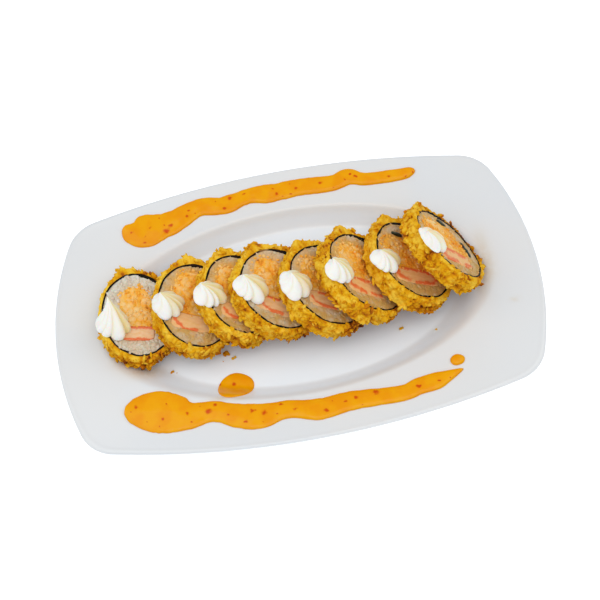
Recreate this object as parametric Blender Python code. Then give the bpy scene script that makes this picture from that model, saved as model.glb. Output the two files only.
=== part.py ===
"""Fried sushi roll on its plate: eight leaning slices, piped cream and two trails of sauce.

Metres, +Z up. The plate stands on its foot ring at z = 0, with its centre at the origin and its
long side along X. Each slice is built flat in its own frame, with its face at z = 0, the roll's
length running down -Z and x pointing down the slope, and an empty tilts it into the row.
"""

import math
import random
from dataclasses import dataclass

import bmesh
import bpy
from mathutils import Vector
from mathutils.bvhtree import BVHTree

MM = 0.001

# Plate: outline, well, heights and foot
PLATE_LENGTH = 280 * MM
PLATE_WIDTH = 171 * MM
LONG_SIDE_BOW = 19 * MM
SHORT_SIDE_BOW = 24 * MM
CORNER_RADIUS = 22.5 * MM
WELL_LENGTH = 232 * MM
WELL_WIDTH = 120.5 * MM
FLOOR_SHARE = 0.80
FLOOR_HEIGHT = 8 * MM
WELL_EDGE_HEIGHT = 18.4 * MM
LIP_HEIGHT = 21 * MM
RIM_RISE_POWER = 1.4
PLATE_WALL = 4.2 * MM
WELL_WALL = 4.5 * MM
RECESS_HEIGHT = 3.4 * MM
WELL_SHARES = (FLOOR_SHARE, 0.84, 0.88, 0.92, 0.96, 1.0)
RIM_SHARES = (0.12, 0.45, 0.80)
UNDER_RIM_SHARES = (0.80, 0.45, 0.08)
UNDER_WELL_SHARES = (0.95, 0.88, 0.82)
# The rounded lip: share of the rim's width, and depth below the lip in millimetres
LIP_ROUNDING = ((0.945, 0.0), (0.985, 0.4), (1.0, 1.4), (0.985, 2.5), (0.94, 3.1))
FOOT_OUTER_SHARE = 0.77
FOOT_INNER_SHARE = 0.71
FOOT_DRAFT_SHARE = 0.01
LONG_ARC_STEPS = 5
CORNER_STEPS = 4
SHORT_ARC_STEPS = 5

# Roll: layers from the outside in
GAP = 0.3 * MM
SLICE_LENGTH = 11.5 * MM
CRUST = 3.6 * MM
# Down the crust's wall: depth in millimetres, share of the thickness, and how far crags stand proud
CRUST_WALL = ((0.4, 0.95, 0.4), (3.2, 1.0, 1.0), (7.4, 1.0, 1.0), (10.4, 0.95, 0.3))
CRUST_FACE_MIDDLE = 0.55
CRAG_LOW = -0.9
RESTING_SIDE = 0.35
NORI = 1.1 * MM
NORI_INSET = 0.1 * MM
NORI_OVERLAP = 1.0 * MM
NORI_OVERLAP_AT = math.radians(76)
NORI_OVERLAP_SPAN = math.radians(15)
CRUST_RIDGE = 2.3 * MM
CRUST_RIDGE_SPAN = math.radians(11)
UPHILL_AT = math.radians(160)
UPHILL_SPAN = math.radians(50)
CRAG = 0.9 * MM
FACE_RELIEF = 0.7 * MM
SEGMENTS = 28
CRAB_SQUARENESS = 6.0
FILLING_SQUARENESS = 3.2
FILLING_ROUGH_SHARE = 0.45
POCKET_INSET = 0.1 * MM
CRAB_INSET = 0.2 * MM
FILLING_EDGE_INSET = 0.3 * MM
GREEN_WIDTH = 1.8 * MM
CUTTER_REACH = 2 * MM

# Piped cream: share of the height and of the radius, from the face to the tip
CREAM_PROFILE = (
    (0.0, 0.84), (0.10, 1.0), (0.26, 0.98), (0.45, 0.80), (0.64, 0.54), (0.82, 0.27), (1.0, 0.05),
)
CREAM_RIDGES = 8
CREAM_RIDGE_DEPTH = 0.17
CREAM_RIDGE_FADE = 0.4
CREAM_TWIST = math.radians(65)
CREAM_STRETCH = 1.15
CREAM_LEVELLING = 0.75

# Sauce: places across a trail, from its far edge to its near one, with the share of its thickness
DOME = ((-1.0, 0.17), (-0.62, 0.75), (0.0, 1.0), (0.62, 0.75), (1.0, 0.17))
SAUCE_THICKNESS = 1.5 * MM
SAUCE_GAP = 0.35 * MM
THIN_HALF_WIDTH = 4 * MM
THINNEST_SHARE = 0.35
TRAIL_STEPS = 22
DROP_SEGMENTS = 14
# Rings of a drop from its underside to its top: share of the radius, and of the thickness
DROP_RINGS = ((0.25, 0.0), (1.0, 0.0), (1.0, 0.17), (0.6, 0.8), (0.25, 1.0))

SEED = 41


@dataclass(frozen=True)
class Slice:
    """One slice: its place in the row, its oval, and where its crab stick and filling lie.

    Lengths are in millimetres and angles in degrees. The tilt is from flat, towards +X. The filling
    leans by a share of its height, and the uphill crust keeps a share of its thickness.
    """

    x: float
    y: float
    tilt: float
    turn: float
    half_down: float
    half_across: float
    oval_turn: float
    lift: float
    pocket: tuple
    pocket_half: float
    crab_depth: float
    filling_height: float
    pocket_turn: float
    filling_lean: float
    uphill_share: float
    ridge_at: float


@dataclass(frozen=True)
class Cream:
    """One piped swirl on a slice: its base on the face, its size, and how far its tip leans."""

    down: float
    across: float
    radius: float
    height: float
    lean_x: float
    lean_y: float


SLICES = (
    Slice(-89.5, 3.2, 18, -10, 20.5, 25.6, 12, 0.8, (0.2, -7.4), 9.9, 9.0, 24.0, 6, -0.05, 0.50, 104),
    Slice(-56.0, 1.7, 23, -2, 21.8, 26.1, 2, 0.3, (-2.0, -6.5), 12.5, 10.0, 26.5, -12, -0.12, 0.65, 88),
    Slice(-29.0, 2.1, 30, 3, 22.2, 25.4, 0, 0.3, (-2.0, -7.0), 12.5, 10.0, 23.5, -10, -0.20, 0.80, 104),
    Slice(-6.7, 0.2, 31, -2, 25.4, 25.0, 0, 0.3, (-3.0, -7.0), 14.0, 10.0, 23.5, -14, -0.27, 0.80, 120),
    Slice(20.1, -2.9, 32.5, 6, 24.7, 25.8, -4, 0.3, (-2.0, -6.5), 13.5, 10.0, 21.5, -14, -0.35, 0.85, 122),
    Slice(41.6, -1.2, 42.5, 10, 25.6, 25.7, -4, 0.3, (-3.0, -5.5), 15.0, 11.0, 22.5, -12, -0.20, 0.85, 104),
    Slice(69.0, 2.5, 35, 13, 24.1, 26.2, -5, 0.3, (-2.5, -6.5), 15.0, 10.5, 20.5, -14, -0.30, 0.85, 104),
    Slice(89.6, 4.8, 52, 18, 25.5, 23.9, -8, 2.3, (-2.5, -5.0), 15.0, 11.0, 21.0, -14, -0.10, 0.85, 104),
)

CREAMS = (
    Cream(-13.0, -9.4, 8.7, 13.7, 1.3, 12.0),
    Cream(-16.4, -1.7, 8.5, 10.8, -1.8, 4.2),
    Cream(-20.6, -2.1, 8.5, 10.2, -2.6, 3.4),
    Cream(-19.3, -3.4, 9.1, 11.0, -2.2, 4.4),
    Cream(-23.6, -2.1, 9.1, 10.6, -0.3, 3.5),
    Cream(-23.7, -2.3, 8.4, 10.6, -1.5, 3.3),
    Cream(-22.4, -1.1, 8.2, 10.1, -1.7, 3.0),
    Cream(-24.0, -2.6, 8.7, 9.0, -1.9, 2.4),
)

# Dark green strips in the rice: slice, then the two ends on the face, in millimetres
GREENS = {
    "green_7": (7, (-5.8, 19.3), (0.6, 16.2)),
    "green_8a": (8, (4.6, 18.0), (11.4, 14.6)),
    "green_8b": (8, (16.2, 3.0), (16.4, -8.0)),
}

# Sauce trails and drops on the plate: x, y and half width, in millimetres
TRAILS = {
    "sauce_far": (
        (-95, 66, 1.5), (-90, 62, 8), (-82, 61, 10.6), (-73, 62, 9), (-64, 64, 7.7), (-48, 70.2, 5.6),
        (-33, 68.8, 5.8), (-17, 72, 5.2), (-3, 71.2, 6.1), (14, 71.7, 5.5), (34, 70.3, 5.4),
        (44.5, 72.4, 5.2), (55, 68.7, 4.1), (75, 67.4, 3.9), (82, 68, 3.0), (85, 68.2, 0.8),
    ),
    "sauce_near": (
        (-104, -49.5, 2), (-100, -50.5, 7), (-93, -52, 10.8), (-85, -54, 12.2), (-76, -57, 11.2),
        (-68, -59.5, 7.8), (-55, -59.5, 5.9), (-42, -64.5, 7.3), (-30, -67, 7.2), (-15, -66, 5.2),
        (2, -69.2, 6), (20, -67.8, 5.5), (47, -69, 4.8), (57, -66.8, 4.9), (67, -65.6, 5.0),
        (75, -63.7, 3.0), (83, -61.5, 0.6),
    ),
}
# Centre, then half lengths along x and y, in millimetres
DROPS = {
    "sauce_drop_large": (-42.3, -44.2, 10.1, 8.8),
    "sauce_drop_small": (81.1, -55.7, 4.0, 3.3),
}


def material(name, colour, roughness, metallic=0.0):
    """Principled material with one colour, roughness and metallic value."""
    made = bpy.data.materials.new(name)
    made.use_nodes = True
    shader = made.node_tree.nodes["Principled BSDF"]
    shader.inputs["Base Color"].default_value = (*colour, 1.0)
    shader.inputs["Roughness"].default_value = roughness
    shader.inputs["Metallic"].default_value = metallic
    return made


def add_object(name, body, finish, parent=None, smooth_angle=math.radians(50)):
    """Put a bmesh into the scene as one closed, outward-facing object."""
    bmesh.ops.recalc_face_normals(body, faces=body.faces)
    mesh = bpy.data.meshes.new(name)
    body.to_mesh(mesh)
    body.free()
    mesh.shade_smooth()
    mesh.set_sharp_from_angle(angle=smooth_angle)
    mesh.materials.append(finish)
    made = bpy.data.objects.new(name, mesh)
    bpy.context.scene.collection.objects.link(made)
    made.parent = parent
    return made


def skin(rings, closed):
    """Bridge rings of points into one body: round to the first ring if closed, else capped."""
    body = bmesh.new()
    loops = [[body.verts.new(point) for point in ring] for ring in rings]
    count = len(rings[0])
    pairs = list(zip(loops, loops[1:]))
    if closed:
        pairs.append((loops[-1], loops[0]))
    for near, far in pairs:
        for i in range(count):
            j = (i + 1) % count
            body.faces.new((near[i], near[j], far[j], far[i]))
    if not closed:
        body.faces.new(loops[0])
        body.faces.new(loops[-1])
    return body


def prism(outline, top, bottom):
    """Closed body between two heights, with the same outline all the way."""
    rings = [[Vector((x, y, z)) for x, y in outline] for z in (bottom, top)]
    return skin(rings, closed=False)


def smoothstep(share):
    """Cubic ease from 0 to 1, level at both ends."""
    share = min(max(share, 0.0), 1.0)
    return share * share * (3 - 2 * share)


def bump(angle, centre, span):
    """Bell of height 1 at an angle, falling off on both sides over the span."""
    away = (angle - centre + math.pi) % (2 * math.pi) - math.pi
    return math.exp(-((away / span) ** 2))


def arc(centre, radius, start, end, steps):
    """Points along an arc, without its last one."""
    angles = [start + (end - start) * i / steps for i in range(steps)]
    return [centre + radius * Vector((math.cos(a), math.sin(a))) for a in angles]


def plate_outline():
    """The plate's rim from above: four bowed sides that meet in round corners."""
    half_x, half_y = PLATE_LENGTH / 2, PLATE_WIDTH / 2
    long_radius = (half_x**2 + LONG_SIDE_BOW**2) / (2 * LONG_SIDE_BOW)
    short_radius = (half_y**2 + SHORT_SIDE_BOW**2) / (2 * SHORT_SIDE_BOW)
    long_centre = Vector((0.0, half_y - long_radius))
    short_centre = Vector((half_x - short_radius, 0.0))
    reach_long = long_radius - CORNER_RADIUS
    reach_short = short_radius - CORNER_RADIUS
    between = long_centre - short_centre
    apart = between.length
    along = (reach_short**2 - reach_long**2 + apart**2) / (2 * apart)
    aside = math.sqrt(reach_short**2 - along**2)
    forward = between / apart
    corner = short_centre + forward * along + Vector((-forward.y, forward.x)) * aside
    if corner.y < 0:
        corner = short_centre + forward * along - Vector((-forward.y, forward.x)) * aside
    to_short = math.atan2(corner.y - short_centre.y, corner.x - short_centre.x)
    to_long = math.atan2(corner.y - long_centre.y, corner.x - long_centre.x)
    quarter = arc(short_centre, short_radius, 0.0, to_short, SHORT_ARC_STEPS)
    quarter += arc(corner, CORNER_RADIUS, to_short, to_long, CORNER_STEPS)
    quarter += arc(long_centre, long_radius, to_long, math.pi / 2, LONG_ARC_STEPS)
    outline = []
    for turn in range(4):
        flip_x = -1 if turn in (1, 2) else 1
        flip_y = -1 if turn in (2, 3) else 1
        points = [Vector((p.x * flip_x, p.y * flip_y)) for p in quarter]
        if turn % 2:
            top = Vector((0.0, half_y * flip_y))
            points = [top] + points[:0:-1]
        outline += points
    return outline


def plate_rings():
    """Rings of the plate from the well's floor, over the rim and back to the foot's recess."""
    outline = plate_outline()
    half_x, half_y = PLATE_LENGTH / 2, PLATE_WIDTH / 2
    turns = [math.atan2(p.y / half_y, p.x / half_x) for p in outline]
    edge = [Vector((WELL_LENGTH / 2 * math.cos(a), WELL_WIDTH / 2 * math.sin(a))) for a in turns]

    def in_well(share, height):
        return [Vector((e.x * share, e.y * share, height)) for e in edge]

    def on_rim(share, height):
        return [Vector((*e.lerp(o, share), height)) for e, o in zip(edge, outline)]

    def slope(share):
        climb = smoothstep((share - FLOOR_SHARE) / (1 - FLOOR_SHARE))
        return FLOOR_HEIGHT + (WELL_EDGE_HEIGHT - FLOOR_HEIGHT) * climb

    def rim(share):
        return WELL_EDGE_HEIGHT + (LIP_HEIGHT - WELL_EDGE_HEIGHT) * share**RIM_RISE_POWER

    rings = [in_well(share, slope(share)) for share in WELL_SHARES]
    rings += [on_rim(share, rim(share)) for share in RIM_SHARES]
    rings += [on_rim(share, LIP_HEIGHT - depth * MM) for share, depth in LIP_ROUNDING]
    rings += [on_rim(share, rim(share) - PLATE_WALL) for share in UNDER_RIM_SHARES]
    rings += [in_well(share, slope(share) - WELL_WALL) for share in UNDER_WELL_SHARES]
    rings.append(in_well(FOOT_OUTER_SHARE + FOOT_DRAFT_SHARE, RECESS_HEIGHT))
    rings.append(in_well(FOOT_OUTER_SHARE, 0.0))
    rings.append(in_well(FOOT_INNER_SHARE, 0.0))
    rings.append(in_well(FOOT_INNER_SHARE - FOOT_DRAFT_SHARE, RECESS_HEIGHT))
    return rings


def build_plate(finish):
    """The porcelain plate, solid between its glazed top and its underside."""
    return add_object("plate", skin(plate_rings(), closed=False), finish)


class SliceShape:
    """The outlines of one slice in its own frame, in metres."""

    def __init__(self, number, row):
        self.number = number
        self.row = row
        self.random = random.Random(SEED + number)
        self.turns = [2 * math.pi * i / SEGMENTS for i in range(SEGMENTS)]
        self.wobble = [self.random.uniform(-0.012, 0.006) for _ in self.turns]
        self.half_down = row.half_down * MM
        self.half_across = row.half_across * MM
        self.oval_turn = math.radians(row.oval_turn)

    def oval(self, grow):
        """Points of the slice's oval, grown outwards by one length or by one for each point."""
        growth = grow if isinstance(grow, list) else [grow] * SEGMENTS
        points = []
        for angle, wobble, more in zip(self.turns, self.wobble, growth):
            x = (self.half_down * (1 + wobble) + more) * math.cos(angle)
            y = (self.half_across * (1 + wobble) + more) * math.sin(angle)
            cos, sin = math.cos(self.oval_turn), math.sin(self.oval_turn)
            points.append((x * cos - y * sin, x * sin + y * cos))
        return points

    def ring(self, grow, height):
        """Ring of points at one height, or at one height for each point."""
        heights = height if isinstance(height, list) else [height] * SEGMENTS
        return [Vector((x, y, z)) for (x, y), z in zip(self.oval(grow), heights)]

    def nori_wall(self):
        """Thickness of the nori at each point: double where the sheet's end overlaps."""
        return [NORI + NORI_OVERLAP * bump(a, NORI_OVERLAP_AT, NORI_OVERLAP_SPAN) for a in self.turns]

    def crust_rings(self):
        """The crumb coat: a rough band with a ridge along the roll, thinner on its uphill side."""
        ridge_at = math.radians(self.row.ridge_at)
        ridge = [CRUST_RIDGE * bump(a, ridge_at, CRUST_RIDGE_SPAN) for a in self.turns]
        lost = 1 - self.row.uphill_share
        thin = [1 - lost * bump(a, UPHILL_AT, UPHILL_SPAN) for a in self.turns]
        resting = [math.cos(a) > RESTING_SIDE for a in self.turns]

        def rough(base, high):
            crags = [self.random.uniform(CRAG_LOW, 0.0 if rests else high) for rests in resting]
            return [base * keep + CRAG * crag + more for keep, crag, more in zip(thin, crags, ridge)]

        def sunk(base):
            return [base - FACE_RELIEF * self.random.random() for _ in self.turns]

        face_middle = [CRUST * CRUST_FACE_MIDDLE * keep for keep in thin]
        rings = [self.ring(GAP, 0.0), self.ring(face_middle, sunk(0.0))]
        for depth, share, proud in CRUST_WALL:
            rings.append(self.ring(rough(CRUST * share, proud), sunk(-depth * MM)))
        rings.append(self.ring(GAP, -SLICE_LENGTH))
        return rings

    def nori_rings(self):
        """The dark seaweed wrap, one sheet thick but for its overlap."""
        inner = [-wall for wall in self.nori_wall()]
        top, bottom = -NORI_INSET, NORI_INSET - SLICE_LENGTH
        return [self.ring(wall, z) for wall, z in ((0.0, top), (inner, top), (inner, bottom), (0.0, bottom))]

    def pocket(self, shrink=0.0):
        """Outline of the filling above and the crab stick below, about the middle of their joint."""
        row = self.row
        half = row.pocket_half * MM - shrink
        crab_depth = row.crab_depth * MM - shrink
        filling_height = row.filling_height * MM - shrink
        turn = math.radians(row.pocket_turn)
        points = []
        for angle in self.turns:
            above = angle <= math.pi
            reach = filling_height if above else crab_depth
            power = FILLING_SQUARENESS if above else CRAB_SQUARENESS
            flat = abs(math.cos(angle) / half) ** power
            steep = abs(math.sin(angle) / reach) ** power
            radius = (flat + steep) ** (-1 / power)
            x, y = radius * math.cos(angle), radius * math.sin(angle)
            points.append((x + row.filling_lean * y if above else x, y))
        cos, sin = math.cos(turn), math.sin(turn)
        centre_x, centre_y = row.pocket[0] * MM, row.pocket[1] * MM
        return [(centre_x + x * cos - y * sin, centre_y + x * sin + y * cos) for x, y in points]

    def rice_rings(self):
        """The rice, with grains standing up on its cut face, round the pocket of filling."""
        outer = [-wall - GAP for wall in self.nori_wall()]
        outside, pocket = self.oval(outer), self.pocket()
        middle = [((ox + px) / 2, (oy + py) / 2) for (ox, oy), (px, py) in zip(outside, pocket)]
        bottom = -SLICE_LENGTH

        def grains():
            return [-FACE_RELIEF * self.random.random() for _ in self.turns]

        rows = ((outside, [0.0] * SEGMENTS), (middle, grains()), (pocket, [-POCKET_INSET] * SEGMENTS),
                (pocket, [bottom] * SEGMENTS), (outside, [bottom] * SEGMENTS))
        return [[Vector((x, y, z)) for (x, y), z in zip(points, heights)] for points, heights in rows]

    def half_pocket(self, upper):
        """Outline of the filling, or of the crab stick, clear of the rice and of each other."""
        points = self.pocket(shrink=GAP)
        half = SEGMENTS // 2
        part = points[: half + 1] if upper else points[half:] + points[:1]
        turn = math.radians(self.row.pocket_turn)
        side = GAP / 2 if upper else -GAP / 2
        first = (part[0][0] - math.sin(turn) * side, part[0][1] + math.cos(turn) * side)
        last = (part[-1][0] - math.sin(turn) * side, part[-1][1] + math.cos(turn) * side)
        return [first] + part[1:-1] + [last]

    def filling_rings(self):
        """The shredded filling, with a lumpy cut face."""
        outline = self.half_pocket(upper=True)
        centre = Vector((sum(x for x, _ in outline), sum(y for _, y in outline))) / len(outline)
        rough = [Vector((x, y)).lerp(centre, FILLING_ROUGH_SHARE) for x, y in outline]
        top = [Vector((*p, -FACE_RELIEF * self.random.random())) for p in rough]
        edge = [Vector((x, y, -FILLING_EDGE_INSET)) for x, y in outline]
        bottom = [Vector((x, y, -SLICE_LENGTH)) for x, y in outline]
        return [bottom, edge, top]


def build_empty(shape):
    """The tilted frame of a slice, set so that its lowest edge rests on the well's floor."""
    row = shape.row
    tilt = math.radians(row.tilt)
    lowest = min(-SLICE_LENGTH * math.cos(tilt) - x * math.sin(tilt) for x, _ in shape.oval(CRUST))
    frame = bpy.data.objects.new(f"slice_{shape.number}", None)
    frame.location = (row.x * MM, row.y * MM, FLOOR_HEIGHT + row.lift * MM - lowest)
    frame.rotation_euler = (0.0, tilt, math.radians(row.turn))
    bpy.context.scene.collection.objects.link(frame)
    return frame


def green_outline(start, end, width):
    """Long thin lens between two points of the face, in metres."""
    first, last = Vector(start) * MM, Vector(end) * MM
    along = (last - first).normalized()
    across = Vector((-along.y, along.x)) * width / 2
    middle = first.lerp(last, 0.5) + across * 0.3
    return [tuple(p) for p in (first - across * 0.5, last - across * 0.5, last + across * 0.5,
                               middle + across, first + across * 0.5)]


def build_green(name, number, start, end, frame, rice, finish):
    """A dark green strip through the rice, and the hole in the rice that holds it."""
    strip = prism(green_outline(start, end, GREEN_WIDTH), -POCKET_INSET, -SLICE_LENGTH)
    add_object(name, strip, finish, frame)
    longer = (Vector(end) - Vector(start)).normalized() * (GAP / MM)
    hole_ends = (Vector(start) - longer, Vector(end) + longer)
    hole_outline = green_outline(*hole_ends, GREEN_WIDTH + 2 * GAP)
    hole = prism(hole_outline, CUTTER_REACH, -SLICE_LENGTH - CUTTER_REACH)
    cutter = add_object(f"{name}_cutter", hole, finish, frame)
    cutter.hide_render = True
    cutter.display_type = "WIRE"
    cut = rice.modifiers.new(f"{name}_hole", "BOOLEAN")
    cut.operation = "DIFFERENCE"
    cut.object = cutter


def cream_rings(cream, frame):
    """Star-shaped rings from the slanting face to the leaning tip, turning towards level on the way."""
    to_face = frame.rotation_euler.to_matrix().inverted()
    tip = to_face @ (Vector((cream.lean_x, cream.lean_y, cream.height)) * MM)
    upright = to_face @ Vector((0, 0, 1))
    base = Vector((cream.down * MM, cream.across * MM, GAP))
    knee = Vector((0.0, 0.0, cream.height / 2 * MM))
    count = CREAM_RIDGES * 2
    rings = []
    for share, width in CREAM_PROFILE:
        middle = base + 2 * share * (1 - share) * knee + share**2 * tip
        level = Vector((0, 0, 1)).lerp(upright, CREAM_LEVELLING * share).normalized()
        side = (Vector((1, 0, 0)) - level * level.x).normalized()
        other = level.cross(side)
        groove = 1 - CREAM_RIDGE_DEPTH * (1 - CREAM_RIDGE_FADE * share)
        ring = []
        for i in range(count):
            radius = cream.radius * MM * width * (1 if i % 2 else groove)
            angle = 2 * math.pi * i / count + CREAM_TWIST * share
            along, across = CREAM_STRETCH * radius * math.cos(angle), radius * math.sin(angle)
            ring.append(middle + side * along + other * across)
        rings.append(ring)
    return rings


def build_slice(number, row, cream, finishes):
    """All the layers of one slice, with its swirl of cream."""
    shape = SliceShape(number, row)
    frame = build_empty(shape)
    add_object(f"crust_{number}", skin(shape.crust_rings(), closed=True), finishes["crust"], frame)
    add_object(f"nori_{number}", skin(shape.nori_rings(), closed=True), finishes["nori"], frame)
    rice = add_object(f"rice_{number}", skin(shape.rice_rings(), closed=True), finishes["rice"], frame)
    add_object(f"filling_{number}", skin(shape.filling_rings(), closed=False), finishes["filling"], frame)
    crab = prism(shape.half_pocket(upper=False), -CRAB_INSET, -SLICE_LENGTH)
    add_object(f"crab_{number}", crab, finishes["crab"], frame)
    add_object(f"cream_{number}", skin(cream_rings(cream, frame), closed=False), finishes["cream"], frame)
    for name, (owner, start, end) in GREENS.items():
        if owner == number:
            build_green(name, number, start, end, frame, rice, finishes["green"])


def surface_height(plate_tree, x, y):
    """Height of the plate's top at a place."""
    hit = plate_tree.ray_cast(Vector((x, y, 1.0)), Vector((0, 0, -1)))[0]
    return hit.z


def spline(points, share):
    """Catmull-Rom curve through rows of numbers, at a share of its length in rows."""
    place = share * (len(points) - 1)
    index = min(int(place), len(points) - 2)
    t = place - index
    rows = [points[min(max(index + k, 0), len(points) - 1)] for k in (-1, 0, 1, 2)]
    mixed = []
    for a, b, c, d in zip(*rows):
        slope, bend, twist = c - a, 2 * a - 5 * b + 4 * c - d, 3 * b - a - 3 * c + d
        mixed.append(0.5 * (2 * b + slope * t + bend * t**2 + twist * t**3))
    return mixed


def trail_rings(points, plate_tree):
    """Cross-sections of a sauce trail: domed on top, and following the plate below."""
    section = DOME + ((1.0, 0.0), (0.0, 0.0), (-1.0, 0.0))
    rings = []
    for i in range(TRAIL_STEPS + 1):
        share = i / TRAIL_STEPS
        x, y, half = (value * MM for value in spline(points, share))
        ahead = spline(points, min(share + 0.01, 1.0))
        behind = spline(points, max(share - 0.01, 0.0))
        along = Vector((ahead[0] - behind[0], ahead[1] - behind[1])).normalized()
        across = Vector((-along.y, along.x))
        thickness = SAUCE_THICKNESS * min(1.0, THINNEST_SHARE + half / THIN_HALF_WIDTH)
        ring = []
        for place, share_up in section:
            px, py = x + across.x * place * half, y + across.y * place * half
            floor = surface_height(plate_tree, px, py) + SAUCE_GAP
            ring.append(Vector((px, py, floor + thickness * share_up)))
        rings.append(ring)
    return rings


def build_drop(name, place, plate_tree, finish):
    """A round drop of sauce, domed on top, and following the plate below."""
    x, y, half_x, half_y = (value * MM for value in place)

    def ring(share, share_up):
        points = []
        for i in range(DROP_SEGMENTS):
            angle = 2 * math.pi * i / DROP_SEGMENTS
            px, py = x + half_x * share * math.cos(angle), y + half_y * share * math.sin(angle)
            floor = surface_height(plate_tree, px, py) + SAUCE_GAP
            points.append(Vector((px, py, floor + SAUCE_THICKNESS * share_up)))
        return points

    rings = [ring(share, share_up) for share, share_up in DROP_RINGS]
    return add_object(name, skin(rings, closed=False), finish)


def build_sauce(plate, finish):
    """The two trails on the rim and the two drops beside the lower one."""
    bpy.context.view_layer.update()
    plate_tree = BVHTree.FromObject(plate, bpy.context.evaluated_depsgraph_get())
    for name, points in TRAILS.items():
        add_object(name, skin(trail_rings(points, plate_tree), closed=False), finish)
    for name, place in DROPS.items():
        build_drop(name, place, plate_tree, finish)


def main():
    """Clear the scene and build the plate, the slices and the sauce."""
    for old in list(bpy.data.objects):
        bpy.data.objects.remove(old)
    finishes = {
        "crust": material("golden crumb crust", (0.62, 0.33, 0.045), 0.75),
        "nori": material("nori", (0.012, 0.012, 0.008), 0.5),
        "rice": material("rice", (0.62, 0.50, 0.38), 0.55),
        "filling": material("orange filling", (0.72, 0.30, 0.09), 0.55),
        "crab": material("crab stick", (0.78, 0.42, 0.25), 0.45),
        "cream": material("piped cream", (0.86, 0.85, 0.76), 0.4),
        "green": material("dark green strip", (0.02, 0.035, 0.012), 0.5),
    }
    plate = build_plate(material("white porcelain", (0.80, 0.81, 0.83), 0.15))
    for number, (row, cream) in enumerate(zip(SLICES, CREAMS), start=1):
        build_slice(number, row, cream, finishes)
    build_sauce(plate, material("sweet chilli sauce", (0.80, 0.33, 0.01), 0.15))


main()
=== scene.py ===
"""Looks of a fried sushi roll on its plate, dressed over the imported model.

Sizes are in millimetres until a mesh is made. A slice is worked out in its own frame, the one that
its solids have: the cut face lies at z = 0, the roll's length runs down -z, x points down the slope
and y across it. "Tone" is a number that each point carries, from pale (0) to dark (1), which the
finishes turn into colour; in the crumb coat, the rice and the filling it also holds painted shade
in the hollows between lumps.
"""

import itertools
import logging
import math
import random
from dataclasses import dataclass, field
from enum import Enum

import bpy
import numpy as np
from mathutils import Matrix


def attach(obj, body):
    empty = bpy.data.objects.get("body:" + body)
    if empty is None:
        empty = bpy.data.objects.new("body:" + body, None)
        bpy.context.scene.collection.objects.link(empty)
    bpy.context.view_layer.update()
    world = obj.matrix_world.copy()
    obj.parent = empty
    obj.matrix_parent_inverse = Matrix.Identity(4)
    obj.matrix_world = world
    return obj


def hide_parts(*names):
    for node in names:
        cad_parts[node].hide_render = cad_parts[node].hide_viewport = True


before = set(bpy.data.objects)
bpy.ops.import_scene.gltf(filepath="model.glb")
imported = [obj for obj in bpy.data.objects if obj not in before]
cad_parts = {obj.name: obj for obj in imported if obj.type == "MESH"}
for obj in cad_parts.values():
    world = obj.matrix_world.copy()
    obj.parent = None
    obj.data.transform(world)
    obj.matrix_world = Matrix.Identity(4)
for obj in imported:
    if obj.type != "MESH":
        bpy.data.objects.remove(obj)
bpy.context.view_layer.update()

log = logging.getLogger("dressing")

Array = np.ndarray
Colour = tuple[float, float, float, float]

MM = 0.001
TAU = 2 * math.pi
SEED = 41
SEED_STEP = 982451653
LATTICE = (73856093, 19349663, 83492791)

# Slices, as in their solids
GAP = 0.3
SEAM = 0.06
SLICE_LENGTH = 11.5
CRUST = 3.6
OVAL_POINTS = 28
OVAL_WOBBLE = (-0.012, 0.006)
UPHILL_AT = math.radians(160)
UPHILL_SPAN = math.radians(50)
FILLING_SQUARENESS = 3.2
CRAB_SQUARENESS = 6.0


# Clearance over the plate, of food and of sauce
FOOD_CLEAR = 0.05
SAUCE_CLEAR = 0.03
SAUCE_EDGE_POWER = 0.75

# A grain of rice or a shred: the stations of its rings, and the sides of each
GRAIN_STATIONS = (-0.86, -0.42, 0.18, 0.74)
GRAIN_SIDES = 6


class Slot(Enum):
    """The material slots of the record."""

    CRUST = "crust"
    NORI = "nori"
    RICE = "rice"
    FILLING = "filling"
    CRAB = "crab"
    CREAM = "cream"
    GREEN = "green"
    PORCELAIN = "porcelain"
    SAUCE = "sauce"


class Side(Enum):
    """The two cut faces of a slice, by the sign of their outward direction along z."""

    FRONT = 1
    BACK = -1


def both_faces(shares: Array) -> list[tuple[Side, float]]:
    """The rings of a layer: out over its front face by shares, and back in over its back face."""
    return [(Side.FRONT, share) for share in shares] + [(Side.BACK, share) for share in shares[::-1]]


@dataclass
class Surface:
    """A mesh in the making.

    Args:
        points: Places of the points, one row each.
        faces: Arrays of point numbers, one row a face, with as many columns as the face has corners.
        values: Numbers that the points carry, by name.
    """

    points: Array
    faces: list[Array]
    values: dict[str, Array] = field(default_factory=dict)

    def volume(self) -> float:
        """Six times the space inside the faces, which is below zero where they point inwards."""
        total = 0.0
        for corners in self.faces:
            for k in range(1, corners.shape[1] - 1):
                first, second, third = (self.points[corners[:, j]] for j in (0, k, k + 1))
                total += float(np.einsum("ij,ij->", first, np.cross(second, third)))
        return total

    def outward(self) -> "Surface":
        """The same closed surface, with its faces pointing outwards."""
        if self.volume() < 0:
            self.faces = [corners[:, ::-1] for corners in self.faces]
        return self


def join(parts: list[Surface]) -> Surface:
    """Put several surfaces into one, with the values that the first one has."""
    starts = np.cumsum([0] + [len(part.points) for part in parts])
    faces = [corners + start for part, start in zip(parts, starts) for corners in part.faces]
    values = {name: np.concatenate([part.values[name] for part in parts]) for name in parts[0].values}
    return Surface(np.concatenate([part.points for part in parts]), faces, values)


def cells(rows: int, columns: int, rows_close: bool) -> Array:
    """Corners of each cell of a grid whose columns close round, and whose rows may."""
    i, j = np.meshgrid(np.arange(rows if rows_close else rows - 1), np.arange(columns), indexing="ij")
    below, right = (i + 1) % rows, (j + 1) % columns
    corners = (i * columns + j, i * columns + right, below * columns + right, below * columns + j)
    return np.stack(corners, -1).reshape(-1, 4)


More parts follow.
